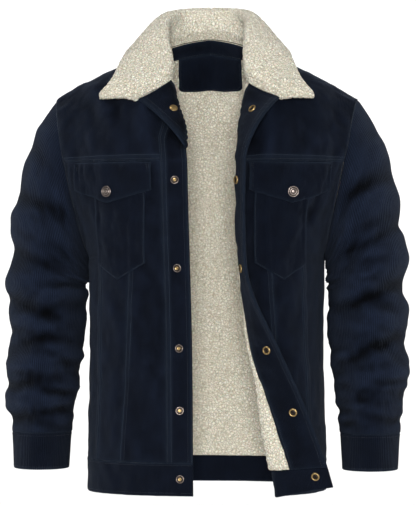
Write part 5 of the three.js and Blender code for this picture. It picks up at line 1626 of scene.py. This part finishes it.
def make_stitching():
    """Twin rows beside the felled seams and round the flaps, single rows round the pockets, the hem band
    and the neck's patch, and three rows down each facing. A row lies so far off its surface that it sits
    on the cloth: on_seam is the height of a felled seam."""
    on_seam = 0.62
    low = np.linspace(HEM_BAND + 1, YOKE_V, 30)
    all_v = np.linspace(HEM_BAND + 1, TOP_V - 2, 50)
    arm = np.linspace(ARMPIT_V + 8, TOP_V - 2, 30)
    inside = np.linspace(HEM_INSIDE, TOP_V - 4, 50)
    for side in SIDE_NAMES:
        s = cloth(f"front_{side}")
        runs = []
        for d in SEAM_ROWS:
            runs += [
                (s, PLACKET - d + 0 * all_v, all_v, on_seam), (s, d + 0 * all_v, all_v, 0.15),
                (s, inner_seam(low) - d, low, on_seam), (s, outer_seam(low) + d, low, on_seam),
                (s, np.array([PLACKET + 1, FRONT_U - 1]), np.array([YOKE_V + d] * 2), on_seam),
                (s, FRONT_U - d + 0 * arm, arm, on_seam),
            ]
        runs += band_rows(s, 1.0, FRONT_U)
        runs += [patch_row(s, FLAP, 2.2, 12, 0.96, 5.6), patch_row(s, FLAP, 6.6, 12, 0.96, 5.9),
                 patch_row(s, POCKET, 1.8, 20, 0.9, 2.15)]
        runs += [(s, 7.6 + 0 * inside, inside, -FACING[1] - 0.2),
                 (s, 2.2 + 0 * inside, inside, -FACING[1] + 0.1),
                 (s, FACING_U - 3 + 0 * inside, inside, -FACING[1] - 0.35)]
        sewn(f"stitching_front_{side}", runs)
    back = cloth("back")
    runs = []
    for d in SEAM_ROWS:
        runs += [(back, back_seam(low, 1) - d, low, on_seam), (back, back_seam(low, -1) + d, low, on_seam),
                 (back, np.array([-BACK_U + 1, BACK_U - 1]), np.array([YOKE_V + d] * 2), on_seam)]
        runs += [(back, sign * (BACK_U - d) + 0 * arm, arm, on_seam) for sign in (-1, 1)]
    runs += band_rows(back, -BACK_U, BACK_U)
    patch_u = np.array([-49.8, -49.8, -45, 45, 49.8, 49.8])
    patch_v = np.array([720, 667, 660.5, 660.5, 667, 720])
    lift = -(NECK_LIFT + 1.75)
    runs += [(back, patch_u, patch_v, lift), (back, np.array([-84, 84]), np.array([724.5] * 2), lift - 0.2)]
    sewn("stitching_back", runs)
    t = np.linspace(0.02, 1.98, 60)
    turn = np.linspace(0, 2 * math.pi, 90)
    deep = CUFF_TOP - CUFF_END
    for side in SIDE_NAMES:
        s, c = cloth(f"sleeve_{side}"), cloth(f"cuff_{side}")
        runs = [(s, BACK_SEAM_ANGLE + d / SLEEVE_U + 0 * t, t, on_seam) for d in SEAM_ROWS]
        runs += [(c, turn, 0 * turn + 4.0 / deep, 0.12), (c, turn, 0 * turn + 52.6 / deep, 0.05)]
        sewn(f"stitching_sleeve_{side}", runs)


# The floor in metres: its height, how far out it is flat, and how wide its slope is
FLOOR_Z = -2.0
FLOOR_FLAT = 9.5
FLOOR_SLOPE = 7.0
# The camera: its distance, the middle of what it sees, and the width that it sees there, in metres
CAMERA_DISTANCE = 4.0
CAMERA_TARGET = (0.0016, 0.0, -0.3288)
SEEN_WIDTH = 416 * 0.0016
# The suns: where each stands, how many degrees wide it looks, and its share of the light's strength
SUNS = {
    "key": ((-0.45, -0.5, 1.0), 14, 0.33),
    "fill": ((0.95, -0.35, 0.5), 30, 0.1),
    "front": ((0.07, -1.0, 0.02), 12, 0.98),
}


def make_stage():
    """A pale floor that curves up far out like a shallow bowl, three soft suns, and the camera at the
    photograph's angle."""
    spokes = 96
    r = np.concatenate([[0.02], np.linspace(0.4, FLOOR_FLAT, 16),
                        np.linspace(FLOOR_FLAT + 0.3, FLOOR_FLAT + FLOOR_SLOPE, 32)])
    angle = np.linspace(0, 2 * math.pi, spokes, endpoint=False)
    rise = 7.5 * ease((r - FLOOR_FLAT) / FLOOR_SLOPE) ** 1.2
    x, y = r[:, None] * np.cos(angle), r[:, None] * np.sin(angle)
    z = np.broadcast_to((FLOOR_Z + rise)[:, None], x.shape)
    mesh = bpy.data.meshes.new("floor")
    points = np.stack([x, y, z], axis=-1).reshape(-1, 3)
    faces = grid_faces(len(r), spokes, loop_columns=True, turn=True)
    points = np.vstack([points, [0, 0, FLOOR_Z]])
    rim = np.arange(spokes)
    hub = np.stack([rim, np.roll(rim, -1), np.full(spokes, len(points) - 1)], axis=-1)
    mesh.from_pydata(points.tolist(), [], faces.tolist() + hub.tolist())
    mesh.polygons.foreach_set("use_smooth", np.ones(len(mesh.polygons), bool))
    material = bpy.data.materials.new("Pale floor")
    material.use_nodes = True
    shader = material.node_tree.nodes["Principled BSDF"]
    shader.inputs["Base Color"].default_value = (0.93, 0.93, 0.93, 1)
    shader.inputs["Roughness"].default_value = 0.9
    mesh.materials.append(material)
    floor = bpy.data.objects.new("floor", mesh)
    scene = bpy.context.scene
    scene.collection.objects.link(floor)
    floor.visible_shadow = False
    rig.stage(floor)
    world = bpy.data.worlds.new("studio")
    world.use_nodes = True
    background = world.node_tree.nodes["Background"]
    background.inputs["Color"].default_value = (1, 1, 1, 1)
    background.inputs["Strength"].default_value = 0.28
    scene.world = world
    scene.view_settings.view_transform = "Standard"
    look = scene.jacket_look
    for name, (toward, soft, share) in SUNS.items():
        light = bpy.data.lights.new(name, "SUN")
        light.angle = math.radians(soft)
        light.energy = share * look.light_power
        lamp = bpy.data.objects.new(name, light)
        lamp.location = Vector(toward) * 4
        lamp.rotation_euler = (-Vector(toward)).to_track_quat("-Z", "Y").to_euler()
        scene.collection.objects.link(lamp)
    camera = bpy.data.cameras.new("camera")
    camera.sensor_fit = "HORIZONTAL"
    camera.sensor_width = 36.0
    camera.lens = camera.sensor_width * CAMERA_DISTANCE / SEEN_WIDTH
    holder = bpy.data.objects.new("camera", camera)
    azimuth = math.radians(look.camera_azimuth)
    away = Vector((math.sin(azimuth), -math.cos(azimuth), 0.0))
    holder.location = Vector(CAMERA_TARGET) + away * CAMERA_DISTANCE
    holder.rotation_euler = (-away).to_track_quat("-Z", "Y").to_euler()
    scene.collection.objects.link(holder)
    scene.camera = holder


# The add-on


def colour_property(name, description, default):
    """A colour that the sidebar shows."""
    return FloatVectorProperty(name=name, description=description, default=default, subtype="COLOR",
                               size=3, min=0.0, max=1.0)


class JacketLook(bpy.types.PropertyGroup):
    """The sizes and colours that a user would change."""

    navy: colour_property("Navy", "The corduroy's nap", (0.0029, 0.0045, 0.0092))
    rubbed: colour_property("Rubbed navy", "The nap where edges have rubbed it", (0.0135, 0.021, 0.035))
    thread: colour_property("Thread", "The sewing thread", (0.02, 0.03, 0.046))
    cream: colour_property("Cream", "The fleece between its curls and its tips", (0.88, 0.825, 0.67))
    nickel: colour_property("Nickel", "The caps and posts", (0.3, 0.25, 0.225))
    brass: colour_property("Brass", "The stems, rivets and sockets", (0.55, 0.38, 0.17))
    fine_wale: FloatProperty(name="Fine wale", description="Distance between the body's wales",
                             default=0.0019, unit="LENGTH", precision=4)
    wide_wale: FloatProperty(name="Wide wale", description="Distance between the sleeves' wales",
                             default=0.0032, unit="LENGTH", precision=4)
    light_power: FloatProperty(name="Light strength", description="Strength of the three suns",
                               default=2.6)
    camera_azimuth: FloatProperty(name="Camera angle", description="Degrees from straight ahead",
                                  default=4.0)


def maker(identifier, label, doc, work):
    """An operator that makes one piece or a group of like pieces."""

    def execute(self, context):
        work()
        return {"FINISHED"}

    name = "JACKET_OT_" + identifier
    return type(name, (bpy.types.Operator,), {
        "bl_idname": "jacket." + identifier, "bl_label": label, "__doc__": doc, "execute": execute,
    })


MAKERS = [
    maker("fronts", "Make the fronts", "Makes the panels, plackets, yokes and facings of both fronts",
          make_fronts),
    maker("back", "Make the back", "Makes the back's three panels and its yoke", make_back),
    maker("band", "Make the hem band", "Makes the band round the hem", make_band),
    maker("sleeves", "Make the sleeves", "Makes both sleeves and their cuffs", make_sleeves),
    maker("pockets", "Make the pockets", "Makes the chest pockets and their flaps", make_pockets),
    maker("linings", "Make the linings", "Makes the fleece inside and the pieces inside the neck",
          make_linings),
    maker("collar", "Make the collar", "Makes the fleece collar and the cloth beneath it", make_collar),
    maker("studs", "Make the studs", "Makes the press studs and the flaps' caps", make_studs),
    maker("stitching", "Sew", "Makes the rows of stitching", make_stitching),
    maker("stage", "Set the stage", "Makes the floor, the lights and the camera", make_stage),
]


class JACKET_PT_sidebar(bpy.types.Panel):
    """Lists the jacket's sizes, colours and makers."""

    bl_label = "Jacket"
    bl_idname = "JACKET_PT_sidebar"
    bl_space_type = "VIEW_3D"
    bl_region_type = "UI"
    bl_category = "Jacket"

    def draw(self, context):
        look = context.scene.jacket_look
        for key in JacketLook.__annotations__:
            self.layout.prop(look, key)
        for each in MAKERS:
            self.layout.operator(each.bl_idname)


CLASSES = [JacketLook, *MAKERS, JACKET_PT_sidebar]


def register():
    """Makes the classes and the jacket's settings known to Blender."""
    for each in CLASSES:
        bpy.utils.register_class(each)
    bpy.types.Scene.jacket_look = PointerProperty(type=JacketLook)


def unregister():
    """Takes the settings and the classes out again."""
    del bpy.types.Scene.jacket_look
    for each in reversed(CLASSES):
        bpy.utils.unregister_class(each)


def plain_box(box):
    """A box's two corners as plain numbers."""
    return [[float(x) for x in corner] for corner in box]


def main():
    """Registers the classes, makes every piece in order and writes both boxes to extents.json."""
    register()
    for each in MAKERS:
        getattr(bpy.ops.jacket, each.bl_idname.split(".")[1])()
    with open("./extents.json", "w") as file:
        json.dump({"cad": plain_box(CAD_BOX), "visual": plain_box(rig.bounds())}, file)


if __name__ == "__main__":
    main()
